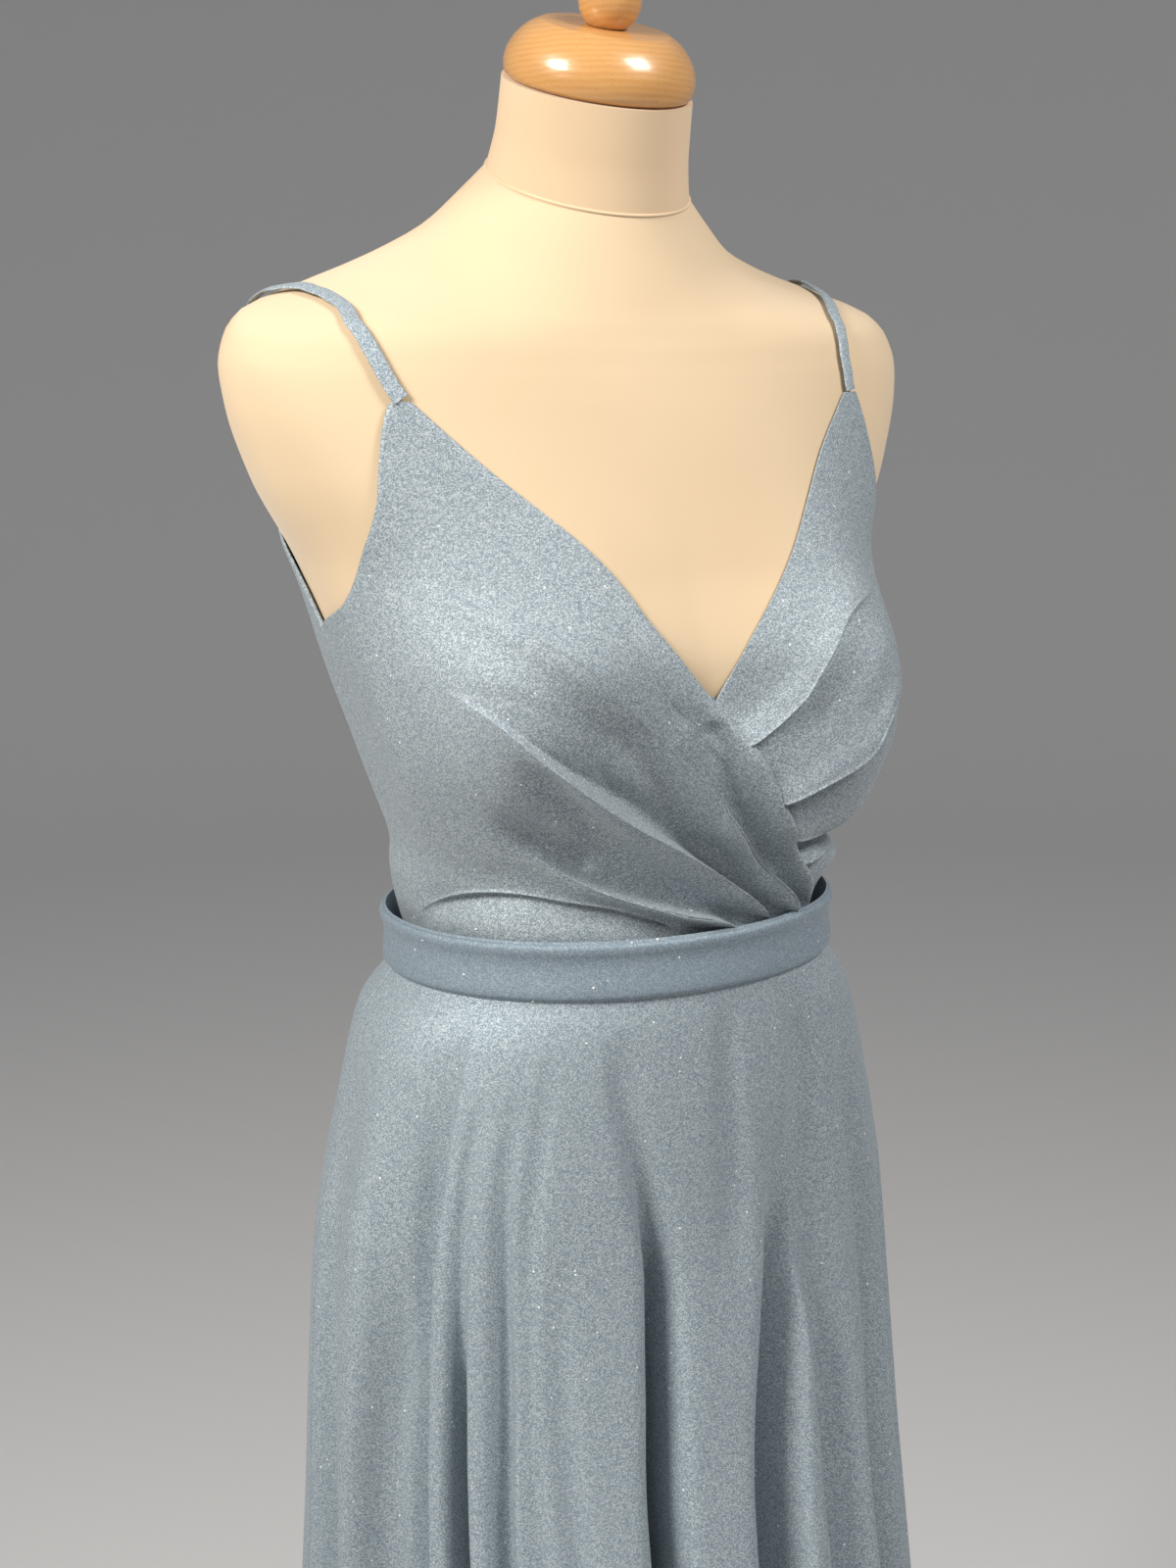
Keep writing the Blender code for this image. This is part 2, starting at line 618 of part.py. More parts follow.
def build_form():
    """The torso down to its flat underside, and the neck above its seam."""
    turn = np.arange(FORM_COLUMNS) * 2 * np.pi / FORM_COLUMNS
    heights = form_heights()
    torso = form_point(turn[None, :], heights[:, None])
    stacked_rings("form_torso", torso, "cream_jersey")
    rings = []
    for ring in NECK:
        profile = (Turned(ring.radius, 0),)
        rings.append(tilted_rings(profile, FORM_COLUMNS, ring.behind, ring.height, ring.tilt)[0])
    stacked_rings("form_neck", np.array(rings), "cream_jersey")


def form_heights():
    """Wide steps below the waist, closer ones above it and the closest over the shoulders."""
    hips = np.linspace(FORM_UNDERSIDE, -0.040, 6)
    chest = np.linspace(-0.010, 0.290, 15)
    shoulders = np.linspace(0.304, 0.350, 9)
    slope = np.linspace(0.360, NECK_SEAM, 4)
    return np.concatenate([hips, chest, shoulders, slope])


def build_cap():
    """The turned wooden cap on the neck, and the ball on the cap."""
    top = NECK[-1]
    lean = np.radians(top.tilt)
    foot = top.height + SEAM_GAP
    stacked_rings("neck_cap", tilted_rings(CAP, CAP_SIDES, top.behind, foot, top.tilt), "varnished_beech")
    rise = CAP[-1].height + SEAM_GAP
    behind = top.behind - rise * np.sin(lean)
    seat = foot + rise * np.cos(lean)
    stacked_rings("neck_knob", tilted_rings(KNOB, CAP_SIDES, behind, seat, top.tilt), "varnished_beech")


def build_stand():
    """A round base on the floor and a pole up to the form's underside."""
    floor = -WAIST_HEIGHT
    stacked_rings("stand_base", tilted_rings(BASE, BASE_SIDES, 0, floor, 0), "varnished_beech")
    foot = BASE_THICKNESS + SEAM_GAP
    top = WAIST_HEIGHT + FORM_UNDERSIDE - SEAM_GAP
    pole = (Turned(POLE_RADIUS, foot), Turned(POLE_RADIUS, top))
    stacked_rings("stand_pole", tilted_rings(pole, POLE_SIDES, 0, floor, 0), "varnished_beech")


def build_bodice():
    """The two fronts that wrap over each other, and the back."""
    side_gap = SEAM_GAP / 2 / FLAT_RADIUS
    low = SEAM_GAP / 2
    panels = (
        ("bodice_front_right", OVER_LINES, OVER_ROWS, over_lift, -1),
        ("bodice_front_left", UNDER_LINES, UNDER_ROWS, under_lift, 1),
    )
    for name, lines, rows_between, lift, side in panels:
        angle, height, pleats = front_grid(lines, pleat_rows(lines, rows_between), FRONT_COLUMNS)
        limit = np.radians(BODICE_SIDE) - side_gap
        angle = side * np.minimum(side * angle, limit)
        height = np.maximum(height, low)
        outer = lay(form_point, angle, height, lift(angle, height, pleats))
        bodice_panel(name, outer[:, ::side])
    half = column(BACK_TOP, "angle")
    degrees = np.concatenate([half, 360 - half[-2::-1]])
    tops = smooth(BACK_TOP, "angle", "height", 180 - np.abs(degrees - 180))
    angle = np.radians(degrees)[None, :]
    angle[0, 0] += side_gap
    angle[0, -1] -= side_gap
    share = np.linspace(0, 1, BACK_ROWS)[:, None]
    height = SEAM_GAP / 2 + (tops[None, :] - SEAM_GAP / 2) * share
    angle = angle + 0 * share
    outer = lay(form_point, angle, height, ease(angle, height))
    bodice_panel("bodice_back", outer)


def build_skirt():
    """The skirt's front and back panels, sewn to each other at the sides and to the bodice at the waist."""
    share = np.linspace(1, 0, SKIRT_ROWS)[:, None]
    height = -SEAM_GAP / 2 + HEM * share**1.4
    side_gap = SEAM_GAP / 2 / FLAT_RADIUS
    side = np.radians(SKIRT_SIDE)
    spans = (
        ("skirt_front", -side + side_gap, side - side_gap, SKIRT_FRONT_COLUMNS),
        ("skirt_back", side + side_gap, 2 * np.pi - side - side_gap, SKIRT_BACK_COLUMNS),
    )
    for name, first, last, columns in spans:
        angle = np.linspace(first, last, columns)[None, :] + 0 * share
        level = height + 0 * angle
        cloth_panel(name, skirt_point(angle, level), facing(skirt_point, angle, level))


def build_belt():
    """A closed band round the waist, with a soft roll along its upper edge."""
    turn = np.arange(BELT_COLUMNS) * 2 * np.pi / BELT_COLUMNS
    rings = []
    for point in BELT:
        wide = BELT_RING._replace(
            half_width=BELT_RING.half_width + point.out,
            front=BELT_RING.front + point.out,
            back=BELT_RING.back + point.out,
        )
        ring = ring_point((wide, wide._replace(height=1)), turn, 0)
        ring[:, 2] += point.height
        rings.append(ring)
    rings = np.array(rings + rings[:1])
    count = len(BELT) * BELT_COLUMNS
    faces = [tuple(corner % count for corner in face) for face in grid_faces(len(rings), BELT_COLUMNS, around=True)]
    add_mesh("belt", rings[:-1].reshape(-1, 3), faces, "dusty_blue_knit")


def build_strap(name, path):
    """A narrow flat strap that lies over the shoulder along its path."""
    steps = np.arange(len(path), dtype=float)
    rows = [(step, *point) for step, point in zip(steps, path)]
    Row = namedtuple("Row", "step angle height")
    table = tuple(Row(*row) for row in rows)
    at = np.linspace(0, len(path) - 1, STRAP_STEPS)
    angle = np.radians(smooth(table, "step", "angle", at))
    height = smooth(table, "step", "height", at)
    under = lay(form_point, angle, height, np.full(at.shape, STRAP_CLEAR))
    over = lay(form_point, angle, height, np.full(at.shape, STRAP_CLEAR + STRAP_WALL))
    out = (over - under) / STRAP_WALL
    along = np.gradient(under, axis=0)
    across = np.cross(along, out)
    across *= STRAP_WIDTH / 2 / np.linalg.norm(across, axis=1, keepdims=True)
    rim = 0.75
    rings = np.stack(
        [
            under - across,
            under + across,
            (under + over) / 2 + across * 1.1,
            over + across * rim,
            over - across * rim,
            (under + over) / 2 - across * 1.1,
        ],
        axis=1,
    )
    along /= along[:, 2:]
    for end in (0, -1):
        rings[end] += along[end] * (under[end][2] - rings[end][:, 2:])
    stacked_rings(name, rings, "dusty_blue_knit")


def main():
    clear_scene()
    build_form()
    build_cap()
    build_stand()
    build_bodice()
    build_skirt()
    build_belt()
    build_strap("strap_right", RIGHT_STRAP)
    build_strap("strap_left", LEFT_STRAP)


main()
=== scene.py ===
# %% [markdown]
# # A wrap cocktail dress on its dress form
#
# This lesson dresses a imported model. The frame holds the solids at their real size, in metres, and says
# where every piece is. Here each piece of cloth is laid out again far more finely, with the folds, edges
# and finish that the real dress has, and rides where its solid is.
#
# The dress is cut from a dusty blue glitter knit. Two fronts wrap over each other and are pleated into the
# belt, a plain back joins them at the side seams, and a flared skirt hangs below.

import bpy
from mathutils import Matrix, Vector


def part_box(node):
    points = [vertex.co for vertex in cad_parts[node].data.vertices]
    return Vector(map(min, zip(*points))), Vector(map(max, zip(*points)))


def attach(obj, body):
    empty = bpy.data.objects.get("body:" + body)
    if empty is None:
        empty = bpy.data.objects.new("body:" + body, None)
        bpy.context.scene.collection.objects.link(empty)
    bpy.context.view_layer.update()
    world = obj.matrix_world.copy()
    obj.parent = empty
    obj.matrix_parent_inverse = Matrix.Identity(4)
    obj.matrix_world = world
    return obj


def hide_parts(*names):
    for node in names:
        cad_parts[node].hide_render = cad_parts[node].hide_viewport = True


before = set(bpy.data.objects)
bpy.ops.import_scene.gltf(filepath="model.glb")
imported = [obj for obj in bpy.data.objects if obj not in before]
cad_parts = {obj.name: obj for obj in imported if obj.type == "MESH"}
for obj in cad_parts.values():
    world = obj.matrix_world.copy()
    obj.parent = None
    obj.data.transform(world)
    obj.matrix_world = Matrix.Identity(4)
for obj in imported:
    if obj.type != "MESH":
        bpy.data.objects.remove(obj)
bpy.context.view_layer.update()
print("solids:", sorted(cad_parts))

# %% Modules
from collections import namedtuple

import bmesh
import bpy
import numpy as np
from mathutils import Matrix, Vector

# %% [markdown]
# ## Where the camera stands
#
# The camera comes first, because it decides which details matter. It stands to the wearer's right of the
# front, a little above the bust, and looks slightly down. Its turn is three plain rotations: its heading,
# how far it is raised from looking straight down, and a slight roll. A plain turn is easier to read than a
# matrix of nine numbers.

# %% Camera
FRAME_HEIGHT = 1600
FOCAL_PIXELS = 2257
CAMERA_PLACE = Vector((-0.6038, -1.0458, 1.344))
CAMERA_TURNS = ((-29.84, "Z"), (90 - 10.8, "X"), (-0.8, "Z"))


def make_camera():
    lens = bpy.data.cameras.new("camera")
    lens.sensor_fit = "VERTICAL"
    lens.sensor_height = 36
    lens.lens = FOCAL_PIXELS / FRAME_HEIGHT * lens.sensor_height
    lens.dof.use_dof = False
    camera = bpy.data.objects.new("camera", lens)
    bpy.context.scene.collection.objects.link(camera)
    camera.matrix_world = Matrix.Translation(CAMERA_PLACE)
    for angle, axis in CAMERA_TURNS:
        camera.matrix_world = camera.matrix_world @ Matrix.Rotation(np.radians(angle), 4, axis)
    bpy.context.scene.camera = camera
    return lens


camera_lens = make_camera()
print(f"lens: {camera_lens.lens:.1f} mm")

# %% [markdown]
# ## Reading values between the rows of a table
#
# Body and cloth are described by short tables, one row for each height. They are in millimetres and
# degrees, and all else is in metres. A smooth curve through the rows must not swing past them, or a waist
# would come out narrower than it was measured. A monotone cubic curve never does, so every table is read
# through one.

# %% Curves through tables
MM = 0.001


def table(kind, lengths, rows):
    """Rows as named tuples. Their first columns, this many, are lengths in millimetres."""
    return tuple(kind(*np.multiply(row[:lengths], MM), *row[lengths:]) for row in rows)


def cubic(keys, values, tangents, at):
    """The cubic curve through values at rising keys, with these tangents."""
    at = np.clip(np.asarray(at, float), keys[0], keys[-1])
    index = np.clip(np.searchsorted(keys, at, side="right") - 1, 0, len(keys) - 2)
    step = (keys[index + 1] - keys[index]).reshape(at.shape + (1,) * (values.ndim - 1))
    share = (at - keys[index]).reshape(step.shape) / step
    rest = 1 - share
    level = values[index] * (1 + 2 * share) * rest**2 + values[index + 1] * share**2 * (3 - 2 * share)
    return level + step * share * rest * (tangents[index] * rest - tangents[index + 1] * share)


def monotone(keys, values, at):
    """Reads values at rising keys between them, along curves that never overshoot."""
    steps = np.diff(keys).reshape((-1,) + (1,) * (values.ndim - 1))
    slopes = np.diff(values, axis=0) / steps
    before, after = slopes[:-1], slopes[1:]
    weight_1 = 2 * steps[1:] + steps[:-1]
    weight_2 = steps[1:] + 2 * steps[:-1]
    same_way = before * after > 0
    before, after = np.where(same_way, before, 1), np.where(same_way, after, 1)
    mean = (weight_1 + weight_2) / (weight_1 / before + weight_2 / after)
    tangents = np.concatenate([slopes[:1], np.where(same_way, mean, 0), slopes[-1:]])
    return cubic(keys, values, tangents, at)


def smooth(rows, key, name, at):
    """Reads one column of a table at these values of its key column."""
    keys, values = (np.array([getattr(row, field) for row in rows], float) for field in (key, name))
    return monotone(keys, values, at)


def stepped(points, steps):
    """Points at even steps along a curve through these points."""
    keys = np.arange(len(points), dtype=float)
    return monotone(keys, np.array(points, float), np.linspace(0, keys[-1], steps))


def rise(share):
    """Rises smoothly from 0 at share 0 to 1 at share 1."""
    share = np.clip(share, 0, 1)
    return share * share * (3 - 2 * share)


def bell(away, reach):
    """1 at no distance, falling off softly over the reach."""
    return np.exp(-((away / reach) ** 2))


print("half way up a soft step:", float(rise(0.5)))

# %% [markdown]
# ## The body under the dress
#
# A dress form is a padded torso with no arms. Its rings are wider than deep and slightly square. Each is
# given by its half width, its reach to the front and to the back, and by how much it tilts, because the
# rings near the neck slope down to the front. The dip lowers the front half a little more, which rounds the
# chest below the shoulders. The bust is one soft swelling on each side. It could be sculpted by hand, but
# rings keep every girth at the size that was measured.

# %% Rings of the form
Section = namedtuple("Section", "height half_width front back middle tilt square dip", defaults=(0,))
FORM = table(Section, 5, (
    (-250, 138, 86, 90, 0, 0, 2.2),
    (-200, 146, 92, 96, 0, 0, 2.2),
    (-130, 146, 101, 99, -4, 0, 2.15),
    (-60, 126, 105, 91, -8, 0, 2.1),
    (0, 109, 105, 81, -12, 0, 2.1),
    (50, 111, 107, 79, -10, 0, 2.1),
    (100, 131, 111, 92, -6, 0, 2.1),
    (150, 147, 113, 112, -2, 0, 2.1),
    (200, 162, 100, 116, 2, 0, 2.1),
    (250, 189, 86.5, 109, 6, 0, 2.05, 1.5),
    (286, 201, 77.5, 104, 8, 0, 2, 4),
    (304, 203, 73.5, 102, 10, 0, 2, 7),
    (320, 199, 70, 98, 12, 1, 2, 9),
    (332, 188, 67.5, 95, 14, 4, 2, 8.5),
    (342, 159, 65.5, 89, 15, 9, 2, 5.5),
    (353, 122, 63.3, 80, 14, 15, 2, 2.5),
    (367, 90, 60, 68, 11, 19, 2, 0.5),
    (384, 69, 55.5, 57, 4, 21, 2),
    (397, 54.6, 52.6, 48.6, -2, 22, 2),
))
BUST_HEIGHT, BUST_ACROSS, BUST_WIDTH = 0.128, 0.092, 0.054
BUST_ABOVE, BUST_BELOW, BUST_SWELL = 0.070, 0.053, 0.037
BUST_OUTWARD, BUST_FORWARD = 0.50, 0.87
FORM_UNDERSIDE, NECK_SEAM = -0.250, 0.397
SEAM_GAP = 0.0003
HALF_GAP = SEAM_GAP / 2
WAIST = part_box("skirt_front")[1].z + HALF_GAP
LAY_STEP = 0.002


def squared(wave, power):
    """A sine or cosine to a power, with its sign kept. A power below 1 makes a round outline squarer."""
    return np.sign(wave) * np.abs(wave) ** power


def ring_point(rings, angle, height):
    """The point at an angle round a ring at a height above the waist. Angle 0 is the centre front."""
    angle, height = np.broadcast_arrays(np.asarray(angle, float), np.asarray(height, float))
    half_width, front, back, middle, tilt, square, dip = (
        smooth(rings, "height", name, height) for name in Section._fields[1:]
    )
    aside, ahead = np.sin(angle), np.cos(angle)
    depth = np.where(ahead > 0, front + middle, back - middle)
    x = half_width * squared(aside, 2 / square)
    y = middle - depth * squared(ahead, 2 / square)
    z = WAIST + height + (y - middle) * np.tan(np.radians(tilt + np.where(ahead > 0, dip, 0)))
    return np.stack([x, y, z], axis=-1)


def form_point(angle, height):
    """A point on the form: its ring, swollen forwards at the bust."""
    points = ring_point(FORM, angle, height)
    above = points[..., 2] - WAIST - BUST_HEIGHT
    run = np.where(above > 0, BUST_ABOVE, BUST_BELOW)
    across = (np.abs(points[..., 0]) - BUST_ACROSS) / BUST_WIDTH
    in_front = np.clip(4 * np.cos(angle), 0, 1)
    swell = BUST_SWELL * in_front * np.exp(-(across**2) - (above / run) ** 2)
    points[..., 0] += BUST_OUTWARD * swell * np.sign(points[..., 0])
    points[..., 1] -= BUST_FORWARD * swell
    return points


def unit(vectors):
    return vectors / np.linalg.norm(vectors, axis=-1, keepdims=True)


def outward(along, up):
    """The unit direction square to both ways along a surface, outwards."""
    return unit(np.cross(along, up))


def lay(surface, angle, height, lift):
    """Points that stand off a surface by lift, square to it."""
    along = surface(angle + LAY_STEP, height) - surface(angle - LAY_STEP, height)
    up = surface(angle, height + LAY_STEP) - surface(angle, height - LAY_STEP)
    return surface(angle, height) + outward(along, up) * np.asarray(lift)[..., None]


print(f"waist at {WAIST:.3f} m, shoulders {2 * max(row.half_width for row in FORM):.3f} m wide")

# %% [markdown]
# ## Turning grids of points into pieces
#
# Most pieces are grids: rows of points round the body, one above the other. The helpers close such a grid
# into a solid or a tube, or give it a cloth's thickness. `stand_for` says which solids a piece replaces. A
# piece could be modelled face by face, but a grid follows the cloth's own run and can be as fine as it
# needs to be.

# %% Mesh helpers
CLOTH = 0.0012
CRISP_EDGE = 40
KNIT, JERSEY, BEECH = "dusty_blue_knit", "cream_jersey", "varnished_beech"


def grid_faces(rows, columns, around):
    """The quads of a grid of points, closed round its columns where around is true."""
    faces = []
    for row in range(rows - 1):
        for left in range(columns if around else columns - 1):
            right = (left + 1) % columns
            low, high = row * columns, (row + 1) * columns
            faces.append((low + left, low + right, high + right, high + left))
    return faces


def smooth_mesh(name, points, faces, finish):
    mesh = bpy.data.meshes.new(name)
    mesh.from_pydata(np.asarray(points, float).reshape(-1, 3).tolist(), [], faces)
    mesh.materials.append(finish)
    mesh.shade_smooth()
    piece = bpy.data.objects.new(name, mesh)
    bpy.context.scene.collection.objects.link(piece)
    return piece


def add_piece(name, points, faces, finish):
    """A closed piece, with every face turned outwards."""
    piece = smooth_mesh(name, points, faces, finish)
    piece.data.validate()
    built = bmesh.new()
    built.from_mesh(piece.data)
    bmesh.ops.recalc_face_normals(built, faces=built.faces)
    built.to_mesh(piece.data)
    built.free()
    return piece


def stand_for(piece, slot, *nodes):
    """The piece rides with the part and is shown in place of these solids."""
    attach(piece, "root")
    if nodes:
        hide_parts(*nodes)
    print(f"{piece.name}: {len(piece.data.polygons)} faces for {', '.join(nodes) or 'no solid'}")
    return piece


def solid_of_rings(name, rings, finish):
    """A closed piece from rings of points, one above the other, with a flat face at each end."""
    rows, sides = rings.shape[:2]
    faces = grid_faces(rows, sides, True)
    faces.append(tuple(range(sides))[::-1])
    faces.append(tuple(range((rows - 1) * sides, rows * sides)))
    piece = add_piece(name, rings, faces, finish)
    piece.data.set_sharp_from_angle(angle=np.radians(CRISP_EDGE))
    return piece


def closed_tube(name, rings, finish):
    """A closed piece from rings whose last one is joined to the first."""
    rows, sides = rings.shape[:2]
    count = rows * sides
    faces = [tuple(corner % count for corner in face) for face in grid_faces(rows + 1, sides, True)]
    return add_piece(name, rings, faces, finish)


def cloth_from_grid(name, outer, finish):
    """A sheet from the grid of its outer face, facing outwards, with the cloth's thickness inside."""
    piece = smooth_mesh(name, outer, grid_faces(*outer.shape[:2], False), finish)
    wall = piece.modifiers.new("thickness", "SOLIDIFY")
    wall.thickness = CLOTH
    wall.offset = -1
    return piece


print(f"cloth is {CLOTH * 1000:.1f} mm thick")

# %% [markdown]
# ## Finishes
#
# Three materials cover the whole part. The dress is a satin knit set with fine glitter: close to, the
# colour breaks into light and dark grains, with a rare white flake whose white is partly painted glint.
# The form wears a matt cream jersey, and the cap, ball, pole and base are varnished beech. Bodice, skirt
# and belt each have their own tone of the knit, and torso and neck their own tone of the jersey; the neck's
# darker, more tan tone is partly its own and partly painted shade.
#
# The nodes read the object's own coordinates, so a pattern has a real scale and needs no unwrapping.

# %% Node helpers
class Nodes:
    """A material's nodes, with short ways to add one and to join two."""

    def __init__(self, name):
        self.material = bpy.data.materials.new(name)
        self.material.use_nodes = True
        self.tree = self.material.node_tree
        self.shader = self.tree.nodes["Principled BSDF"]
        self.place = self.add("ShaderNodeTexCoord", {}).outputs["Object"]

    def feed(self, socket, value):
        """Joins an output to a socket, or sets the socket to a number, a vector or a colour."""
        if isinstance(value, bpy.types.NodeSocket):
            self.tree.links.new(value, socket)
        else:
            socket.default_value = (*value, 1) if socket.type == "RGBA" else value

    def add(self, kind, inputs, **settings):
        node = self.tree.nodes.new(kind)
        for name, value in settings.items():
            setattr(node, name, value)
        for name, value in inputs.items():
            self.feed(node.inputs[name], value)
        return node

    def put(self, inputs):
        for name, value in inputs.items():
            self.feed(self.shader.inputs[name], value)

    def stretched(self, x, y, z):
        """The place, scaled by a factor along each axis."""
        return self.add("ShaderNodeMapping", {"Vector": self.place, "Scale": (x, y, z)}).outputs["Vector"]

    def noise(self, place, scale, detail=2, roughness=0.5, distortion=0):
        inputs = {"Vector": place, "Scale": scale, "Detail": detail, "Roughness": roughness}
        return self.add("ShaderNodeTexNoise", {**inputs, "Distortion": distortion}).outputs["Fac"]

    def cells(self, place, scale):
        return self.add("ShaderNodeTexVoronoi", {"Vector": place, "Scale": scale})

    def channels(self, colour):
        """A colour's red, green and blue. From cells they are three random numbers for each cell."""
        return self.add("ShaderNodeSeparateColor", {0: colour}).outputs

    def ramp(self, value, *stops):
        """Colours at rising positions."""
        node = self.add("ShaderNodeValToRGB", {"Fac": value})
        points = node.color_ramp.elements
        while len(points) < len(stops):
            points.new(0.5)
        for point, (position, colour) in zip(points, stops):
            point.position = position
            point.color = (*colour, 1)
        return node.outputs["Color"]

    def mix(self, share, first, second):
        """Two colours mixed by a share, which is a number or an output."""
        return self.add("ShaderNodeMix", {0: share, 6: first, 7: second}, data_type="RGBA").outputs[2]

    def calc(self, operation, first, second):
        return self.add("ShaderNodeMath", {0: first, 1: second}, operation=operation).outputs[0]

    def bump(self, height, distance, strength):
        inputs = {"Height": height, "Distance": distance, "Strength": strength}
        self.put({"Normal": self.add("ShaderNodeBump", inputs).outputs["Normal"]})


print("node helpers ready")

# %% [markdown]
# ### The glitter knit
#
# Cells half a millimetre across carry the glitter's light and dark grains. A slow noise shifts the tone
# from place to place, as the dye does. Rare larger cells hold one flake each, a small white disc in the
# base
# colour: the glitter's own flake, its white partly a painted glint where the flake would catch the light.
# Each grain could be a small mesh of its own, but a pattern of cells costs nothing and reads the same from
# a step away.

# %% Dress finish
GRAIN_SCALE, GRAIN_SHARE = 2000, 0.7
FINE_SCALE, FINE_SHARE = 3200, 0.3
DRIFT_SCALE, DRIFT_SHARE = 14, 0.35
DARK_AT, MIDDLE_AT, LIGHT_AT = 0.20, 0.52, 0.82
FLAKE_SCALE, FLAKE_RADIUS, FLAKE_RARITY = 320, 0.17, 0.978
METAL_LEAST, METAL_RISE = 0.20, 0.50
ROUGH_LEAST, ROUGH_RISE = 0.66, 0.14
# The flakes' white, partly painted glint.
FLAKE_GLINT_WHITE = (1, 1, 1)


def glitter_knit(name, dark, middle, light):
    knit = Nodes(name)
    grain = knit.channels(knit.cells(knit.place, GRAIN_SCALE).outputs["Color"])
    fine = knit.calc("MULTIPLY", knit.noise(knit.place, FINE_SCALE), FINE_SHARE)
    mixed = knit.calc("ADD", knit.calc("MULTIPLY", grain[0], GRAIN_SHARE), fine)
    drift = knit.calc("MULTIPLY", knit.noise(knit.place, DRIFT_SCALE), DRIFT_SHARE)
    colour = knit.ramp(mixed, (DARK_AT, dark), (MIDDLE_AT, middle), (LIGHT_AT, light))
    # Rare white flakes in the base colour: the glitter's own flakes, their white partly painted glint.
    cells = knit.cells(knit.place, FLAKE_SCALE)
    rare = knit.calc("GREATER_THAN", knit.channels(cells.outputs["Color"])[1], FLAKE_RARITY)
    flake = knit.calc("MULTIPLY", rare, knit.calc("LESS_THAN", cells.outputs["Distance"], FLAKE_RADIUS))
    metal = knit.calc("ADD", knit.calc("MULTIPLY", mixed, METAL_RISE), METAL_LEAST)
    knit.put({
        "Base Color": knit.mix(flake, knit.mix(drift, colour, middle), FLAKE_GLINT_WHITE),
        "Metallic": knit.calc("MULTIPLY", metal, knit.calc("SUBTRACT", 1, flake)),
        "Roughness": knit.calc("ADD", knit.calc("MULTIPLY", grain[1], ROUGH_RISE), ROUGH_LEAST),
        "Sheen Weight": 0.10,
        "Sheen Roughness": 0.4,
    })
    knit.bump(mixed, distance=0.00035, strength=0.35)
    return knit.material


BODICE_TONES = (0.15, 0.204, 0.252), (0.328, 0.38, 0.412), (0.63, 0.672, 0.688)
SKIRT_TONES = (0.16, 0.22, 0.275), (0.34, 0.40, 0.44), (0.64, 0.69, 0.71)
BELT_TONES = (0.16, 0.225, 0.29), (0.265, 0.325, 0.375), (0.44, 0.50, 0.53)
bodice_finish = glitter_knit("dusty_blue_bodice", *BODICE_TONES)
dress_finish = glitter_knit("dusty_blue_knit", *SKIRT_TONES)
belt_finish = glitter_knit("dusty_blue_belt", *BELT_TONES)
print("flakes show in about", f"{(1 - FLAKE_RARITY) * 100:.0f}% of cells")

# %% [markdown]
# ### Jersey and beech
#
# The jersey is nearly even, with the faintest knit in it. Beech is known by its short dark flecks and its
# fine, slightly wavy growth lines. The cap is turned from a board, so these run across it. A picture of
# wood could be wrapped round each piece, but nodes give the lines at their real scale on every side.

# %% Form and wood finishes
def cream_jersey(name, shaded, lit):
    jersey = Nodes(name)
    knit = jersey.noise(jersey.place, scale=1900, roughness=0.6)
    base = jersey.ramp(jersey.noise(jersey.place, scale=9), (0.30, shaded), (0.70, lit))
    base = jersey.mix(jersey.calc("MULTIPLY", knit, 0.22), base, (0.70, 0.55, 0.35))
    jersey.put({"Base Color": base, "Roughness": 0.85, "Sheen Weight": 0.25, "Sheen Roughness": 0.5})
    jersey.bump(knit, distance=0.0002, strength=0.25)
    return jersey.material


def beech():
    wood = Nodes("beech_board")
    lines = {"Scale": 105, "Distortion": 5.5, "Detail": 2, "Detail Scale": 0.35}
    lines["Vector"] = wood.stretched(0.35, 1, 1)
    growth = wood.add("ShaderNodeTexWave", lines, bands_direction="Z").outputs["Fac"]
    waves = wood.noise(wood.stretched(1.4, 26, 26), scale=7, detail=3, distortion=0.6)
    flecks = wood.cells(wood.stretched(170, 700, 700), scale=1)
    fleck = wood.calc("LESS_THAN", flecks.outputs["Distance"], 0.17)
    colour = wood.ramp(growth, (0.15, (0.56, 0.275, 0.085)), (0.85, (0.61, 0.315, 0.105)))
    colour = wood.mix(wood.calc("MULTIPLY", waves, 0.45), colour, (0.66, 0.36, 0.13))
    colour = wood.mix(wood.calc("MULTIPLY", fleck, 0.45), colour, (0.36, 0.17, 0.06))
    wood.put({"Base Color": colour, "Roughness": 0.32, "Coat Weight": 0.7, "Coat Roughness": 0.16})
    wood.bump(growth, distance=0.0002, strength=0.15)
    return wood.material


jersey_finish = cream_jersey("cream_jersey_torso", (0.67, 0.50, 0.32), (0.72, 0.55, 0.357))
# The neck's jersey is darker and more tan than the torso's: partly its own tone, partly painted shade.
neck_finish_painted_shade = cream_jersey("cream_jersey_neck_painted_shade", (0.66, 0.48, 0.305), (0.71, 0.525, 0.335))
wood_finish = beech()
print("finishes:", dress_finish.name, jersey_finish.name, wood_finish.name)

# %% [markdown]
# ## The form
#
# The torso and the neck are laid out from the same rings as their solids, with many more of them. A sewn
# cover shows one seam, where the neck's tube of jersey meets the torso's, so a thin welt follows that ring.
# The solids could be shown as they are, but their facets would show on the shoulders.

# %% Torso and neck
FORM_SIDES, FORM_ROWS = 200, 150
NeckRing = namedtuple("NeckRing", "behind height radius tilt")
NECK = table(NeckRing, 3, ((-2, 397.3, 54.4, 22), (-7.5, 419, 51.2, 20.5), (-13, 444, 50.3, 19)))
FLOOR = NeckRing(0, -WAIST, 0, 0)
NECK_ROWS = 24
WELT_RADIUS, WELT_OUT, WELT_SIDES = 0.0009, 0.0002, 10


def around(count):
    return np.arange(count) * 2 * np.pi / count


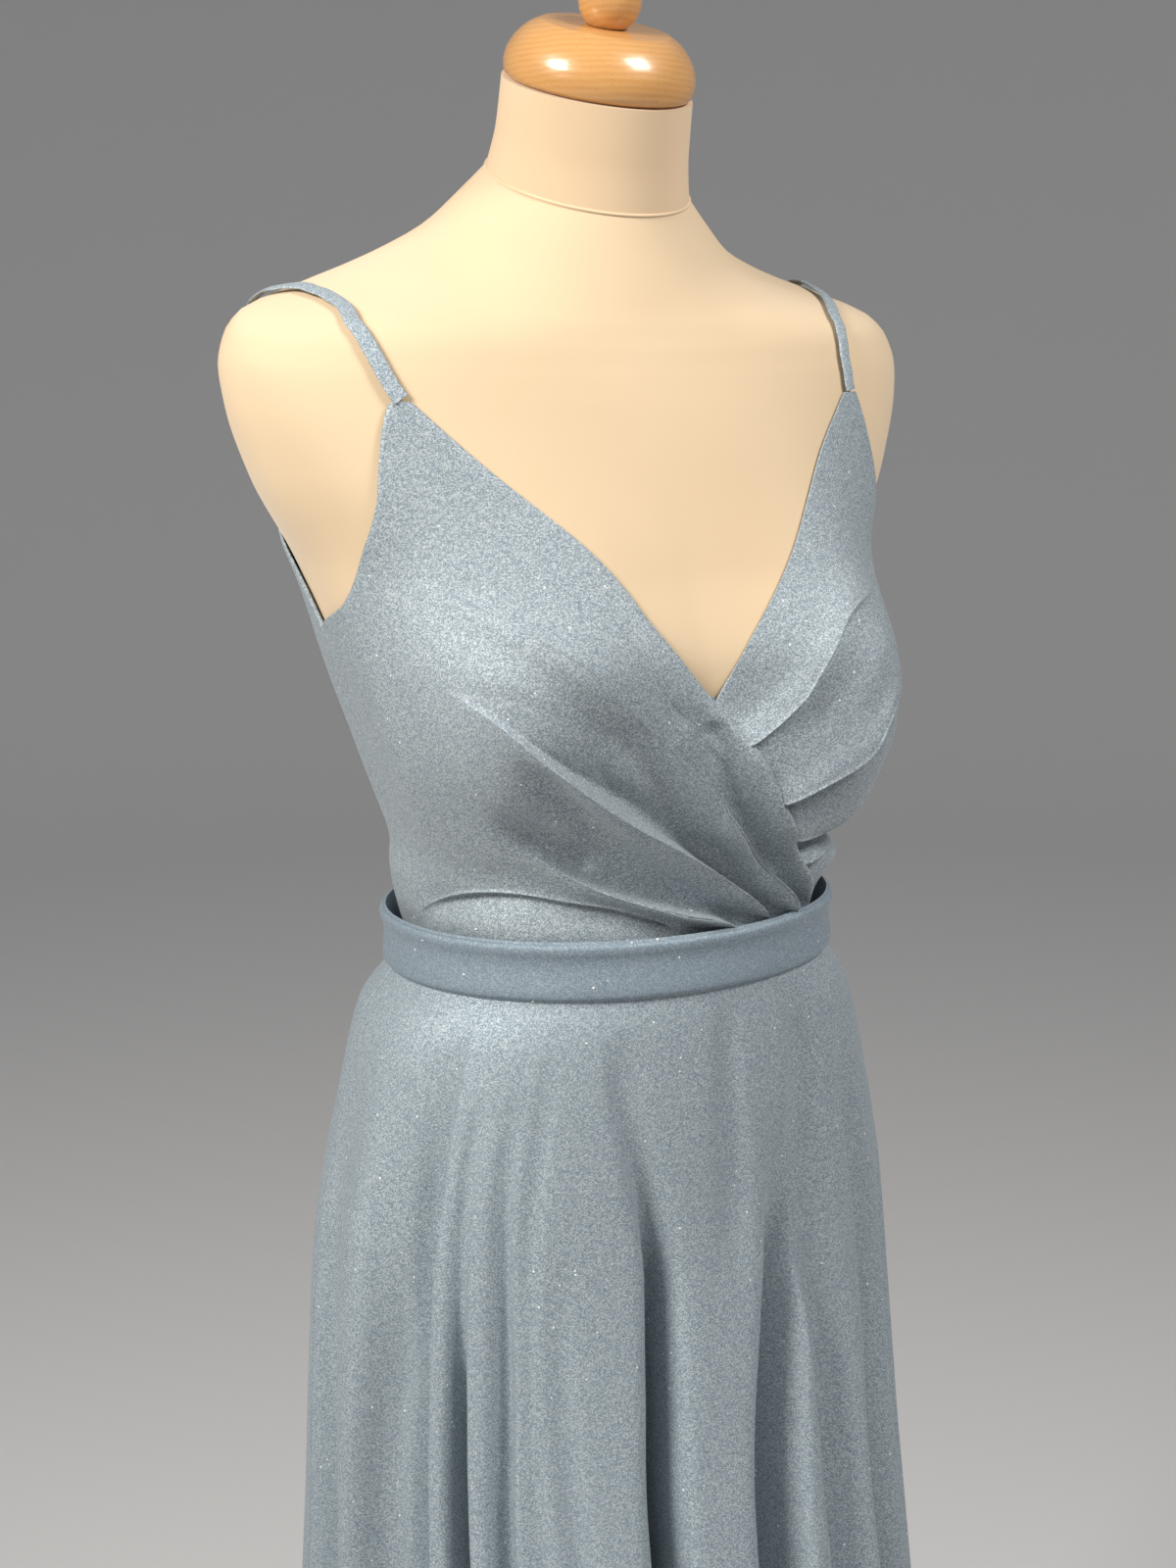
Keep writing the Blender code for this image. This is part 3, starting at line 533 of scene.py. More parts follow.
def tilted_ring(radius, up, turn, foot):
    """Points of a ring at a distance up an axis that leans forward from its foot."""
    lean = np.radians(foot.tilt)
    ahead = -np.cos(turn) * radius
    x = np.sin(turn) * radius
    y = foot.behind + ahead * np.cos(lean) - up * np.sin(lean)
    z = WAIST + foot.height + ahead * np.sin(lean) + up * np.cos(lean)
    return np.stack(np.broadcast_arrays(x, y, z), axis=-1)


def make_torso():
    heights = np.linspace(FORM_UNDERSIDE, NECK_SEAM, FORM_ROWS)
    rings = form_point(around(FORM_SIDES)[None, :], heights[:, None])
    return solid_of_rings("torso_cover", rings, jersey_finish)


def make_neck():
    at = np.linspace(NECK[0].height, NECK[-1].height, NECK_ROWS)
    feet = [NeckRing(*(smooth(NECK, "height", name, height) for name in NeckRing._fields)) for height in at]
    rings = np.array([tilted_ring(foot.radius, 0, around(FORM_SIDES), foot) for foot in feet])
    return solid_of_rings("neck_cover", rings, neck_finish_painted_shade)


def make_welt():
    """A thin round cord of jersey along the seam between torso and neck."""
    seam = NECK[0]
    radius = seam.radius + WELT_OUT + WELT_RADIUS * np.cos(around(WELT_SIDES))[:, None]
    up = WELT_RADIUS * np.sin(around(WELT_SIDES))[:, None]
    rings = tilted_ring(radius, up, around(FORM_SIDES)[None, :], seam)
    return closed_tube("neck_welt", rings, jersey_finish)


stand_for(make_torso(), JERSEY, "form_torso")
stand_for(make_neck(), JERSEY, "form_neck")
stand_for(make_welt(), JERSEY)

# %% [markdown]
# ## Cap, ball and stand
#
# These are turned on a lathe, so each is a profile of radius and height swept round its own axis. The cap's
# side is read through the monotone curve, and its flat top starts anew, because the edge between is crisp.
# A Screw modifier could sweep it too, but rings share their helper with the form.

# %% Turned wood
Turned = namedtuple("Turned", "radius height")
CAP = table(Turned, 2, (
    (47, 0.2), (48.9, 1.5), (50, 4.3), (50.3, 8), (49.6, 12.6), (47.3, 18), (43.6, 23.1), (39, 27.2),
    (34.2, 29.8),
))
CAP_TOP = table(Turned, 2, ((33.6, 30.1), (32.6, 30.3), (2, 30.3)))
CAP_STEPS = 60
BALL_RADIUS, BALL_FLAT, BALL_TIP, BALL_STEPS = 0.0164, 0.0102, 0.06, 48
RIM = table(Turned, 2, ((-3.5, 0), (-1.5, 0.8), (0, 3.5)))
RIM_TOP, ROUND_OVER, ROUND_STEPS = 0.015, 0.012, 14
DOME_RISE, DOME_RADIUS = 0.0015, 0.03
LATHE_SIDES = 128


def turned_piece(name, profile, foot):
    rings = [tilted_ring(row.radius, row.height, around(LATHE_SIDES), foot) for row in profile]
    return solid_of_rings(name, np.array(rings), wood_finish)


def make_cap():
    foot = NECK[-1]._replace(height=NECK[-1].height + SEAM_GAP)
    side = [Turned(*row) for row in stepped(CAP, CAP_STEPS)]
    return turned_piece("turned_cap", [*side, *CAP_TOP], foot)


def make_ball():
    """A ball with a small flat foot, seated on the cap's top."""
    top = NECK[-1]
    lean = np.radians(top.tilt)
    seat = CAP_TOP[-1].height + SEAM_GAP
    low = -np.arccos(BALL_FLAT / BALL_RADIUS)
    turn = np.linspace(low, np.pi / 2 - BALL_TIP, BALL_STEPS)
    profile = map(Turned, BALL_RADIUS * np.cos(turn), BALL_RADIUS * (np.sin(turn) - np.sin(low)))
    behind, height = top.behind - seat * np.sin(lean), top.height + SEAM_GAP + seat * np.cos(lean)
    return turned_piece("turned_ball", profile, top._replace(behind=behind, height=height))


def make_stand():
    """The base's rim is rounded over, and the pole is a plain dowel."""
    base_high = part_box("stand_base")[1]
    pole_low, pole_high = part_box("stand_pole")
    radius, thick, width = base_high.x, base_high.z, pole_high.x
    rim = [Turned(radius + row.radius, row.height) for row in RIM]
    turn = np.linspace(0, np.pi / 2, ROUND_STEPS)
    inwards = radius - ROUND_OVER + ROUND_OVER * np.cos(turn)
    rounded = map(Turned, inwards, RIM_TOP + (thick - RIM_TOP - DOME_RISE) * np.sin(turn))
    base = turned_piece("turned_base", [*rim, *rounded, Turned(DOME_RADIUS, thick)], FLOOR)
    dowel = [Turned(width, height) for height in (pole_low.z, (pole_low.z + pole_high.z) / 2, pole_high.z)]
    return base, turned_piece("dowel_pole", dowel, FLOOR)


stand_for(make_cap(), BEECH, "neck_cap")
stand_for(make_ball(), BEECH, "neck_knob")
base, pole = make_stand()
stand_for(base, BEECH, "stand_base")
stand_for(pole, BEECH, "stand_pole")

# %% [markdown]
# ## How the bodice is laid out
#
# The bodice lies a few millimetres off the form and bridges from the bust down to the belt. Each front is
# laid out along lines that run across it: its edges and its pleats. A pleat is a fold that is caught at the
# wrap and opens towards the side: on one side of its line the cloth rises to a crisp crest, and on the
# other it drops steeply into a groove. Rows of points crowd close to each pleat, so that the mesh itself is
# sharp there. A cloth simulation could drape it, but sewn pleats lie where the maker pinned them, so they
# are drawn.

# %% Ease between the form and the cloth
FLAT_RADIUS = 0.115
Ease = namedtuple("Ease", "height front side back")
EASE = table(Ease, 4, (
    (0, 7.5, 4.5, 3),
    (16, 7.8, 9, 3.4),
    (30, 8, 11.5, 3.6),
    (40, 7, 12, 3.6),
    (55, 10, 10, 3.4),
    (70, 12.2, 8.5, 3.2),
    (100, 9.5, 4.5, 3),
    (130, 2.8, 3.6, 3.6),
    (180, 2.4, 3.6, 3.6),
    (290, 2.2, 2.4, 2.8),
))
Billow = namedtuple("Billow", "out height above below angle turn")
BILLOWS = table(Billow, 4, (
    (8.5, 84, 30, 18, 60, 28),
    (-6.5, 57, 8, 8, 58, 28),
    (8.5, 38, 9, 13, 60, 28),
    (2.8, 14, 12, 12, -52, 24),
))


def ease(angle, height):
    """How far the bodice's outer face stands off the form, before laps and pleats."""
    ahead = np.cos(angle)
    front, side, back = (smooth(EASE, "height", name, height) for name in Ease._fields[1:])
    even = np.where(ahead > 0, front, back) * ahead**2 + side * (1 - ahead**2)
    for billow in BILLOWS:
        turned = (np.degrees(angle) - billow.angle) / billow.turn
        risen = height - billow.height
        risen = risen / np.where(risen > 0, billow.above, billow.below)
        even = even + billow.out * np.exp(-(turned**2) - risen**2)
    return even


print(f"ease at the centre front of the waist: {float(ease(0.0, 0.0)) * 1000:.1f} mm")

# %% Lines across the two fronts
# Paths are in degrees round the body and millimetres above the waist. A pleat's lift, reach and groove are
# in millimetres too. It is raised above (1) or below (-1) its line. Full and gone are shares of the path.
Pleat = namedtuple("Pleat", "lift reach groove raised full gone")
Line = namedtuple("Line", "path pleat", defaults=(None,))
OVER_LINES = (
    Line(((-20, 0), (-45, 0), (-70, 0), (-93, 0))),
    Line(
        ((-2, 0), (-11, 22), (-24, 32), (-36, 37), (-49, 41), (-67, 38), (-84, 24), (-93, 12)),
        Pleat(1.2, 10, 3, 1, 0.66, 0.94),
    ),
    Line(
        ((12, 0), (6, 16), (-9, 28), (-30, 47), (-43, 66), (-60, 90), (-93, 104)),
        Pleat(8, 10, 9, -1, 0.38, 0.7),
    ),
    Line(
        ((24, 0), (17, 18), (-6, 58), (-20, 84), (-34, 114), (-46, 138), (-66, 156), (-93, 158)),
        Pleat(8, 9, 9.5, -1, 0.46, 0.74),
    ),
    Line(((27, 0), (20, 20), (2, 62), (-20, 108), (-45, 150), (-70, 168), (-93, 172))),
    Line(((30, 0), (23, 21), (5, 67), (-14, 112), (-30, 145), (-52, 174), (-77, 188))),
    Line(
        ((33, 0), (27, 21), (12, 51), (-4, 96), (-17, 131), (-29, 163), (-46, 190), (-65, 212)),
        Pleat(10, 9, 11.5, -1, 0.62, 0.92),
    ),
    Line(((37, 0), (32, 22), (18, 54), (3, 94), (-14, 146), (-31, 196), (-54, 239))),
    Line(((40, 0), (35, 22), (23, 50), (8, 90), (-8, 140), (-23, 206), (-37.4, 252), (-44.2, 291.2))),
    Line((
        (45, 0), (39.5, 24), (32.5, 42), (24, 66), (16.5, 84), (10.5, 104), (1.5, 132), (-4.5, 154),
        (-9.5, 174), (-13.5, 194), (-18, 212), (-25, 235.3), (-31.4, 256.5), (-41, 291.2),
    )),
)
UNDER_LINES = (
    Line(((-45, 0), (0, 0), (45, 0), (93, 0))),
    Line(
        ((-38, 24), (-10, 36), (15, 41), (30, 42), (48, 45), (70, 44), (93, 40)),
        Pleat(3.5, 12, 3, 1, 0.55, 0.75),
    ),
    Line(
        ((-27, 58), (0, 60), (22, 59), (39, 62), (55, 77), (72, 90), (93, 94)),
        Pleat(5.5, 12, 3, 1, 0.55, 0.78),
    ),
    Line(
        ((-15, 88), (0, 84), (15, 83), (26, 95), (33, 106), (38, 124), (55, 140), (93, 142)),
        Pleat(5.5, 12, 3.6, 1, 0.42, 0.66),
    ),
    Line(((-8, 108), (3, 99), (14, 102), (24, 118), (33, 142), (60, 166), (93, 172))),
    Line(
        ((-2, 126), (6, 112), (11, 119), (17, 134), (21, 152), (27, 170), (45, 184), (77, 188)),
        Pleat(5.5, 12, 4, 1, 0.34, 0.66),
    ),
    Line(((1.5, 138), (8, 146), (16, 168), (30, 192), (48, 206), (65, 212))),
    Line(((8, 164), (20, 192), (38, 218), (53.8, 239))),
    Line(((21, 210), (30, 233), (39.8, 247.8), (49.3, 253.8))),
    Line(((30.8, 260.8), (35.8, 269.3), (40.8, 273.4), (44.8, 274.2))),
    Line(((38.2, 291.2), (39.9, 291.2), (41.8, 291.2))),
)
print(sum(1 for line in OVER_LINES + UNDER_LINES if line.pleat), "pleats")

# %% Laying out a front along its lines
ROW_OFFSETS = (0.010, 0.026, 0.05, 0.09, 0.14, 0.21, 0.30, 0.40, 0.5)
FRONT_COLUMNS = 170
PLEAT_WALL, PLEAT_GROOVE = 0.0022, 0.0055
BEAD, BEAD_WIDTH = 0.0011, 0.0010
TUCK_LOW, TUCK_HIGH = 0.004, 0.024


def along_path(path, share):
    """Points at shares of a path's length, as distance round the body at FLAT_RADIUS and height."""
    points = np.array(path, float) * (np.radians(FLAT_RADIUS), MM)
    lengths = np.linalg.norm(np.diff(points, axis=0), axis=1)
    keys = np.concatenate([[0], np.cumsum(lengths)])
    tangents = np.gradient(points, keys, axis=0)
    return cubic(keys, points, tangents, share * keys[-1])


def crowded_rows(lines):
    """Places between a panel's lines, crowded to both sides of each line."""
    last = len(lines) - 1
    offsets = [side * offset for offset in (0, *ROW_OFFSETS) for side in (-1, 1)]
    places = {round(number + offset, 4) for number in range(last + 1) for offset in offsets}
    return np.array(sorted(place for place in places if 0 <= place <= last))


def tucked(height):
    """0 where the cloth is tucked under the belt, rising to 1 above it."""
    return rise((height - TUCK_LOW) / (TUCK_HIGH - TUCK_LOW))


def front_grid(lines):
    """Angles, heights and pleat lift of a front panel, row by row from the waist upwards."""
    rows = crowded_rows(lines)
    share = np.linspace(0, 1, FRONT_COLUMNS)
    paths = np.array([along_path(line.path, share) for line in lines])
    points = monotone(np.arange(len(lines), dtype=float), paths, rows)
    lift = np.zeros(points.shape[:2])
    for number, line in enumerate(lines):
        pleat = line.pleat
        if not pleat:
            continue
        high, reach, groove = np.multiply(pleat[:3], MM)
        away = np.linalg.norm(points - paths[number], axis=-1)
        raised_side = (rows[:, None] - number) * pleat.raised >= 0
        strength = 1 - rise((share - pleat.full) / (pleat.gone - pleat.full))
        fallen = high * np.clip(1 - (away / PLEAT_WALL) ** 2, 0, 1) ** 2
        fallen = fallen - groove * away / PLEAT_GROOVE * np.exp(1 - away / PLEAT_GROOVE)
        rolled = np.where(raised_side, high * bell(away, reach), fallen)
        lift += strength * (rolled + BEAD * bell(away, BEAD_WIDTH))
    angle, height = points[..., 0] / FLAT_RADIUS, points[..., 1]
    return angle, height, lift * tucked(height)


print("the upper front has", len(crowded_rows(OVER_LINES)), "rows of", FRONT_COLUMNS, "points")

# %% [markdown]
# ### Soft folds
#
# Between the pleats the cloth also waves softly. Each wave runs along a path of its own: positive depths
# are ridges, negative ones valleys. It fades to nothing at both ends, and its two sides may differ in
# width. They could be sculpted, but a path and a depth are easy to change.

# %% Soft folds
# Depth, left and right are in millimetres. Start and end are the shares of the path over which it fades.
Soft = namedtuple("Soft", "depth left right start end path")
OVER_SOFT = (
    Soft(-5, 15, 7, 0.2, 0.25, ((-88, 20), (-67, 36), (-49, 41), (-36, 37), (-24, 32), (-11, 22))),
    Soft(-7.5, 12, 12, 0.4, 0.4, ((-52, 92), (-43, 76), (-34, 62), (-22, 48))),
    Soft(-9.5, 4.5, 11, 0.25, 0.3, (
        (-45, 122), (-40, 115), (-36, 108), (-30, 90), (-22, 65), (-13, 44), (-4, 26),
    )),
    Soft(-3, 7, 8, 0.4, 0.2, ((-27, 156), (-18, 128), (-15, 115), (-6, 80), (6, 50), (14, 36))),
    Soft(-3, 3, 5.5, 0.08, 0.25, ((0, 127), (4, 107), (5, 94), (8, 74), (10, 59), (19, 34))),
    Soft(-1.8, 6, 7, 0.5, 0.5, ((-26, 186), (-18, 166), (-12, 150), (-6, 135))),
    Soft(-5.5, 8, 3.2, 0.25, 0.25, ((-26, 166), (-14, 134), (-1.5, 99), (14.5, 54), (27, 26))),
)
UNDER_SOFT = (Soft(-2.6, 5, 8, 0.3, 0.3, ((29, 148), (25, 145), (21, 137), (18, 132))),)
SOFT_STEPS = 50


def soft_lift(folds, angle, height):
    """The lift of soft ridges and valleys along their paths."""
    places = np.stack([angle * FLAT_RADIUS, height], axis=-1)
    share = np.linspace(0, 1, SOFT_STEPS)
    lift = np.zeros(angle.shape)
    for fold in folds:
        depth, left, right = np.multiply(fold[:3], MM)
        path = along_path(fold.path, share)
        heading = np.gradient(path, share, axis=0)
        nearest = np.argmin(((places[..., None, :] - path) ** 2).sum(axis=-1), axis=-1)
        apart, forward = places - path[nearest], heading[nearest]
        speed = np.linalg.norm(forward, axis=-1)
        near = share[nearest] + (apart * forward).sum(axis=-1) / speed**2
        aside = (forward[..., 0] * apart[..., 1] - forward[..., 1] * apart[..., 0]) / speed
        fade = rise(near / fold.start) * rise((1 - near) / fold.end)
        lift += depth * fade * bell(aside, np.where(aside > 0, left, right))
    return lift


print(len(OVER_SOFT + UNDER_SOFT), "soft folds")

# %% [markdown]
# ### The wrap
#
# Where the fronts lap, the upper one is raised over the lower one. Its free edge is folded back on itself,
# so it ends in a soft roll instead of a raw edge, and the roll grows fuller towards the belt. The bare rim
# of a sheet would end square, which no folded edge does.

# %% Lift of the two fronts
LAP, LAP_REACH = 0.0026, 0.060
EDGE_ROLL, EDGE_ROLL_PLACE, EDGE_ROLL_WIDTH = 0.0044, 0.0035, 0.0060
ROLL_TOP, ROLL_RUN = 0.160, 0.050
EDGE_TURN, EDGE_ROUND = 0.0011, 0.0016
UNDERLAP_REACH = 0.010
LEAST_LIFT, LEAST_LAP = 0.0016, 0.0018


def edge_angle(edge, height):
    """The angle of a slanting edge at a height, from the points of its path."""
    degrees, heights = np.array(edge, float).T
    return np.radians(monotone(heights * MM, degrees, height))


def rounded_edge(inside):
    """How far the cloth turns in at a free edge, which makes the edge read as a fold."""
    return -EDGE_TURN * bell(np.clip(inside, 0, None), EDGE_ROUND)


def reaching(angle, edge, reach):
    """Rises to 1 at an edge, over this reach before it."""
    return rise(1 + (angle - edge) * FLAT_RADIUS / reach)


def over_lift(angle, height, pleats):
    lower_edge = edge_angle([line.path[0] for line in UNDER_LINES], height)
    inside = (edge_angle(OVER_LINES[-1].path, height) - angle) * FLAT_RADIUS
    roll = EDGE_ROLL * bell(inside - EDGE_ROLL_PLACE, EDGE_ROLL_WIDTH)
    roll = roll * rise((ROLL_TOP - height) / ROLL_RUN) * tucked(height)
    lift = ease(angle, height) + LAP * reaching(angle, lower_edge, LAP_REACH) + roll + pleats
    lift = lift + soft_lift(OVER_SOFT, angle, height) + rounded_edge(inside)
    return np.maximum(lift, LEAST_LIFT + LEAST_LAP * reaching(angle, lower_edge, UNDERLAP_REACH))


def under_lift(angle, height, pleats):
    shown = reaching(angle, edge_angle(OVER_LINES[-1].path, height), UNDERLAP_REACH)
    lift = ease(angle, height) + pleats + soft_lift(UNDER_SOFT, angle, height)
    return LEAST_LIFT + shown * np.maximum(lift - LEAST_LIFT, 0)


lapped = np.degrees(edge_angle(OVER_LINES[-1].path, 0.05))
print(f"the wrap laps by {lapped:.0f} degrees past the centre front")

# %% Bodice fronts
BODICE_SIDE = 93


def bodice_panel(name, angle, height, lift, step=1):
    """A sheet over the form whose foot stays clear of the seam at the waist."""
    outer = lay(form_point, angle, height, lift)
    outer[..., 2] = np.maximum(outer[..., 2], WAIST + HALF_GAP)
    return cloth_from_grid(name, outer[:, ::step], bodice_finish)


def make_front(name, lines, lift, side):
    """One front, clear of the side seam."""
    angle, height, pleats = front_grid(lines)
    limit = np.radians(BODICE_SIDE) - HALF_GAP / FLAT_RADIUS
    angle = side * np.minimum(side * angle, limit)
    height = np.maximum(height, HALF_GAP)
    return bodice_panel(name, angle, height, lift(angle, height, pleats), side)


front_right = stand_for(make_front("front_over", OVER_LINES, over_lift, -1), KNIT, "bodice_front_right")
front_left = stand_for(make_front("front_under", UNDER_LINES, under_lift, 1), KNIT, "bodice_front_left")

# %% [markdown]
# ### The back
#
# The back is plain. Its top edge rises from under the arms to the straps and dips between them in a modest
# V. It has no pleats, so a plain grid between the side seams is enough.

# %% Bodice back
BackTop = namedtuple("BackTop", "height angle")
BACK_TOP = table(BackTop, 1, (
    (172, 93), (189, 97), (205, 103), (219, 112), (231, 122), (241, 130), (248, 135), (248, 138),
    (236, 144), (214, 152), (187, 162), (164, 171), (152, 180),
))
BACK_COLUMNS, BACK_ROWS = 240, 110
CROWD_UP = 1.3


def make_back():
    degrees = np.linspace(BODICE_SIDE, 360 - BODICE_SIDE, BACK_COLUMNS)
    tops = smooth(BACK_TOP, "angle", "height", 180 - np.abs(degrees - 180))
    angle = np.radians(degrees)[None, :]
    angle[0, 0] += HALF_GAP / FLAT_RADIUS
    angle[0, -1] -= HALF_GAP / FLAT_RADIUS
    share = 1 - np.linspace(1, 0, BACK_ROWS)[:, None] ** CROWD_UP
    height = HALF_GAP + (tops - HALF_GAP) * share
    return bodice_panel("back_panel", angle, height, ease(angle, height) + rounded_edge(tops - height))


back = stand_for(make_back(), KNIT, "bodice_back")

# %% [markdown]
# ## The skirt
#
# A flared skirt hangs smooth at the hips and falls into folds lower down. Each point of a fold's run is a
# height, an angle and a depth, so the fold can start at its own height, wander and deepen. Its two walls
# have reaches of their own, in degrees, because the cloth leans one way as it hangs. Its lip is how many
# degrees one side is drawn over it. A simulation would choose folds of its own, and these have to hang
# where the real ones do.

# %% Skirt folds
SKIRT = table(Section, 5, (
    (-600, 202, 199, 190, -6, 0, 2),
    (-400, 185, 168, 158, -8, 0, 2.05),
    (-337, 181, 153, 143, -8, 0, 2.1),
    (-244, 177, 135, 126, -8, 0, 2.1),
    (-154, 169, 124, 118, -9, 0, 2.15),
    (-124, 163, 123, 116, -10, 0, 2.15),
    (-83, 154, 123, 112, -12, 0, 2.1),
    (-40, 141, 122.5, 111, -13, 0, 2.1),
    (-14, 124, 120.9, 93, -14, 0, 2.05),
    (0, 117.5, 115.5, 87, -13, 0, 2.05),
))
Fold = namedtuple("Fold", "left right lip run")
FOLDS = (
    Fold(2.6, 4.4, 2.2, (
        (-30, -22.5, 0), (-70, -19.5, 5), (-110, -15.5, 9), (-140, -13.5, 14), (-170, -12.5, 24),
        (-230, -13.5, 36), (-300, -15, 44), (-600, -16, 60),
    )),
    Fold(4.6, 3, 0, (
        (-85, 15, 0), (-136, 15.5, 9), (-168, 15.5, 20), (-200, 14.5, 30), (-260, 11.5, 40),
        (-300, 10, 44), (-600, 6, 54),
    )),
    Fold(3, 2.5, 0, ((-20, 3, 0), (-60, 3, 3.5), (-110, 3.5, 4.2), (-200, 3, 0), (-600, 0, 0))),
    Fold(1.8, 2.2, 0.6, (
        (-60, -51, 0), (-110, -51.5, 3), (-170, -51, 6), (-200, -51.5, 11), (-230, -52, 19),
        (-260, -52.5, 26), (-300, -53, 32), (-600, -55, 44),
    )),
    Fold(2.4, 1.8, 0, (
        (-60, -43, 0), (-110, -42.5, 3.8), (-170, -41, 8), (-230, -41.5, 11), (-300, -43, 14),
        (-600, -45, 24),
    )),
    Fold(9, 2.4, 0, (
        (-30, -59, 0), (-80, -60, 8), (-130, -60, 16), (-200, -60.5, 21), (-300, -62, 26), (-600, -67, 34),
    )),
    Fold(5, 5, 0, ((-50, -74, 0), (-140, -73, 7), (-200, -72, 11), (-300, -75, 18), (-600, -78, 30))),
    Fold(2.4, 2, 0, ((-30, -36, 0), (-100, -36, 2), (-170, -36, 2.4), (-230, -36, 2.4), (-600, -33, 10))),
    Fold(2.6, 2.4, 0, ((-140, -29, 0), (-220, -30, 3), (-300, -29, 4.5), (-600, -28, 8))),
    Fold(4, 5, 0, (
        (-20, 23, 0), (-70, 23, 6), (-110, 21.5, 7.5), (-170, 22, 11), (-230, 25, 15), (-300, 24.5, 21),
        (-600, 18, 30),
    )),
    Fold(4, 4.5, 0.4, (
        (-40, 43, 0), (-105, 41, 7), (-170, 42, 12), (-230, 42, 18), (-300, 40, 24), (-600, 37, 46),
    )),
    Fold(4.5, 4.5, 0, ((-120, 58, 0), (-300, 57, 10), (-600, 54, 20))),
    Fold(5.5, 6, 0.6, ((-120, 75, 0), (-300, 74, 18), (-600, 73, 46))),
    Fold(5, 5, 0, ((-130, 97, 0), (-300, 96, 12), (-600, 95, 30))),
    Fold(6.5, 5.5, 0.8, ((-90, 124, 0), (-300, 124, 23), (-600, 123, 50))),
    Fold(5, 6, 0, ((-120, 148, 0), (-300, 147, 17), (-600, 146, 40))),
    Fold(6.5, 5, 1, ((-80, 171, 0), (-300, 170, 26), (-600, 169, 54))),
    Fold(5, 6, 0, ((-120, -165, 0), (-300, -166, 15), (-600, -167, 36))),
    Fold(5.5, 6.5, 0.8, ((-90, -143, 0), (-300, -143, 23), (-600, -144, 50))),
    Fold(5.5, 5.5, 0, ((-110, -119, 0), (-300, -120, 18), (-600, -121, 42))),
    Fold(5, 6, 0.6, ((-60, -94, 0), (-300, -94, 17), (-600, -94, 36))),
)
HEM = -0.600
HEM_STITCH, STITCH_WIDTH, STITCH_DEPTH = 0.018, 0.0012, 0.0004
FOLD_FLATNESS = 2.6
LIP_DEPTH, LIP_PLACE = 0.020, 1.2


def fold_at(fold, height):
    """A fold's angle in degrees and its depth, both at these heights."""
    run = np.array(fold.run[::-1], float) * (MM, 1, MM)
    return np.moveaxis(monotone(run[:, 0], run[:, 1:], height), -1, 0)


def skirt_point(angle, height):
    """A point on the skirt's outer face: its ring, with every fold pushed in and its lip drawn over it."""
    angle, height = np.broadcast_arrays(np.asarray(angle, float), np.asarray(height, float))
    pushed = STITCH_DEPTH * bell(height - HEM - HEM_STITCH, STITCH_WIDTH)
    drawn = np.zeros(angle.shape)
    for fold in FOLDS:
        heading, depth = fold_at(fold, height)
        away = np.degrees((angle - np.radians(heading) + np.pi) % (2 * np.pi) - np.pi)
        side = np.where(away < 0, fold.left, fold.right)
        pushed = pushed + depth * np.exp(-np.abs(away / side) ** FOLD_FLATNESS)
        lip = np.radians(fold.lip) * rise(depth / LIP_DEPTH)
        drawn += lip * bell(away + LIP_PLACE * fold.left, fold.left)
    points = ring_point(SKIRT, angle + drawn, height)
    points[..., :2] -= unit(points[..., :2]) * pushed[..., None]
    return points


print(len(FOLDS), "folds round the skirt")

# %% Skirt panels
SKIRT_SIDE, SKIRT_ROWS = 102, 100
AHEAD, BEHIND = 380, 240
CROWD_DOWN = 1.25
CROWD, CROWD_REACH, CROWD_STEPS = 2.0, 6.0, 2000
DEEP_FOLD = 30


def crowded_angles(first, last, columns):
    """Angles from first to last, closer together where a deep fold runs."""
    even = np.linspace(first, last, CROWD_STEPS)
    deep = [fold.run[-2][1] for fold in FOLDS if fold.run[-1][2] > DEEP_FOLD]
    crowd = 1 + sum(CROWD * bell((even - heading + 180) % 360 - 180, CROWD_REACH) for heading in deep)
    reached = np.concatenate([[0], np.cumsum((crowd[1:] + crowd[:-1]) / 2)])
    return np.radians(np.interp(np.linspace(0, reached[-1], columns), reached, even))


def make_skirt(name, first, last, columns):
    """A panel between two side seams, with rows of its own along the hem's stitches."""
    gap = np.degrees(HALF_GAP / FLAT_RADIUS)
    falling = HEM * np.linspace(1, 0, SKIRT_ROWS) ** CROWD_DOWN - HALF_GAP
    stitch = HEM + HEM_STITCH + STITCH_WIDTH * np.arange(-2, 3)
    height = np.sort(np.concatenate([falling, stitch]))[:, None]
    angle = crowded_angles(first + gap, last - gap, columns)[None, :]
    return cloth_from_grid(name, skirt_point(angle, height), dress_finish)


skirt_front = make_skirt("skirt_front_panel", -SKIRT_SIDE, SKIRT_SIDE, AHEAD)
skirt_back = make_skirt("skirt_back_panel", SKIRT_SIDE, 360 - SKIRT_SIDE, BEHIND)
stand_for(skirt_front, KNIT, "skirt_front")
stand_for(skirt_back, KNIT, "skirt_back")

# %% [markdown]
# ## The belt
#
# The belt is a band of the same knit, folded over along its upper edge, where it stands out in a soft roll.
# Its section is a short closed outline, read round through a curve and carried round the waist. A flat band
# with a bevel could stand for it, but a drawn outline gives the roll its true fullness.

# %% Belt
BELT_RING = table(Section, 5, ((0, 125.2, 121.5, 93.6, -14, 0, 2.05),))[0]
# The outline of its section: height, and distance out from the ring.
BELT = (
    (-13.4, 0), (-14.1, 0.8), (-13.7, 1.9), (-11.8, 2.6), (-7.5, 2.5), (-2, 1.9), (3.5, 1.6), (7.2, 2.1),
    (10.5, 3.4), (13.2, 3.6), (14.8, 2.5), (15, 1), (14, 0),
)
BELT_SIDES, BELT_STEPS = 360, 72


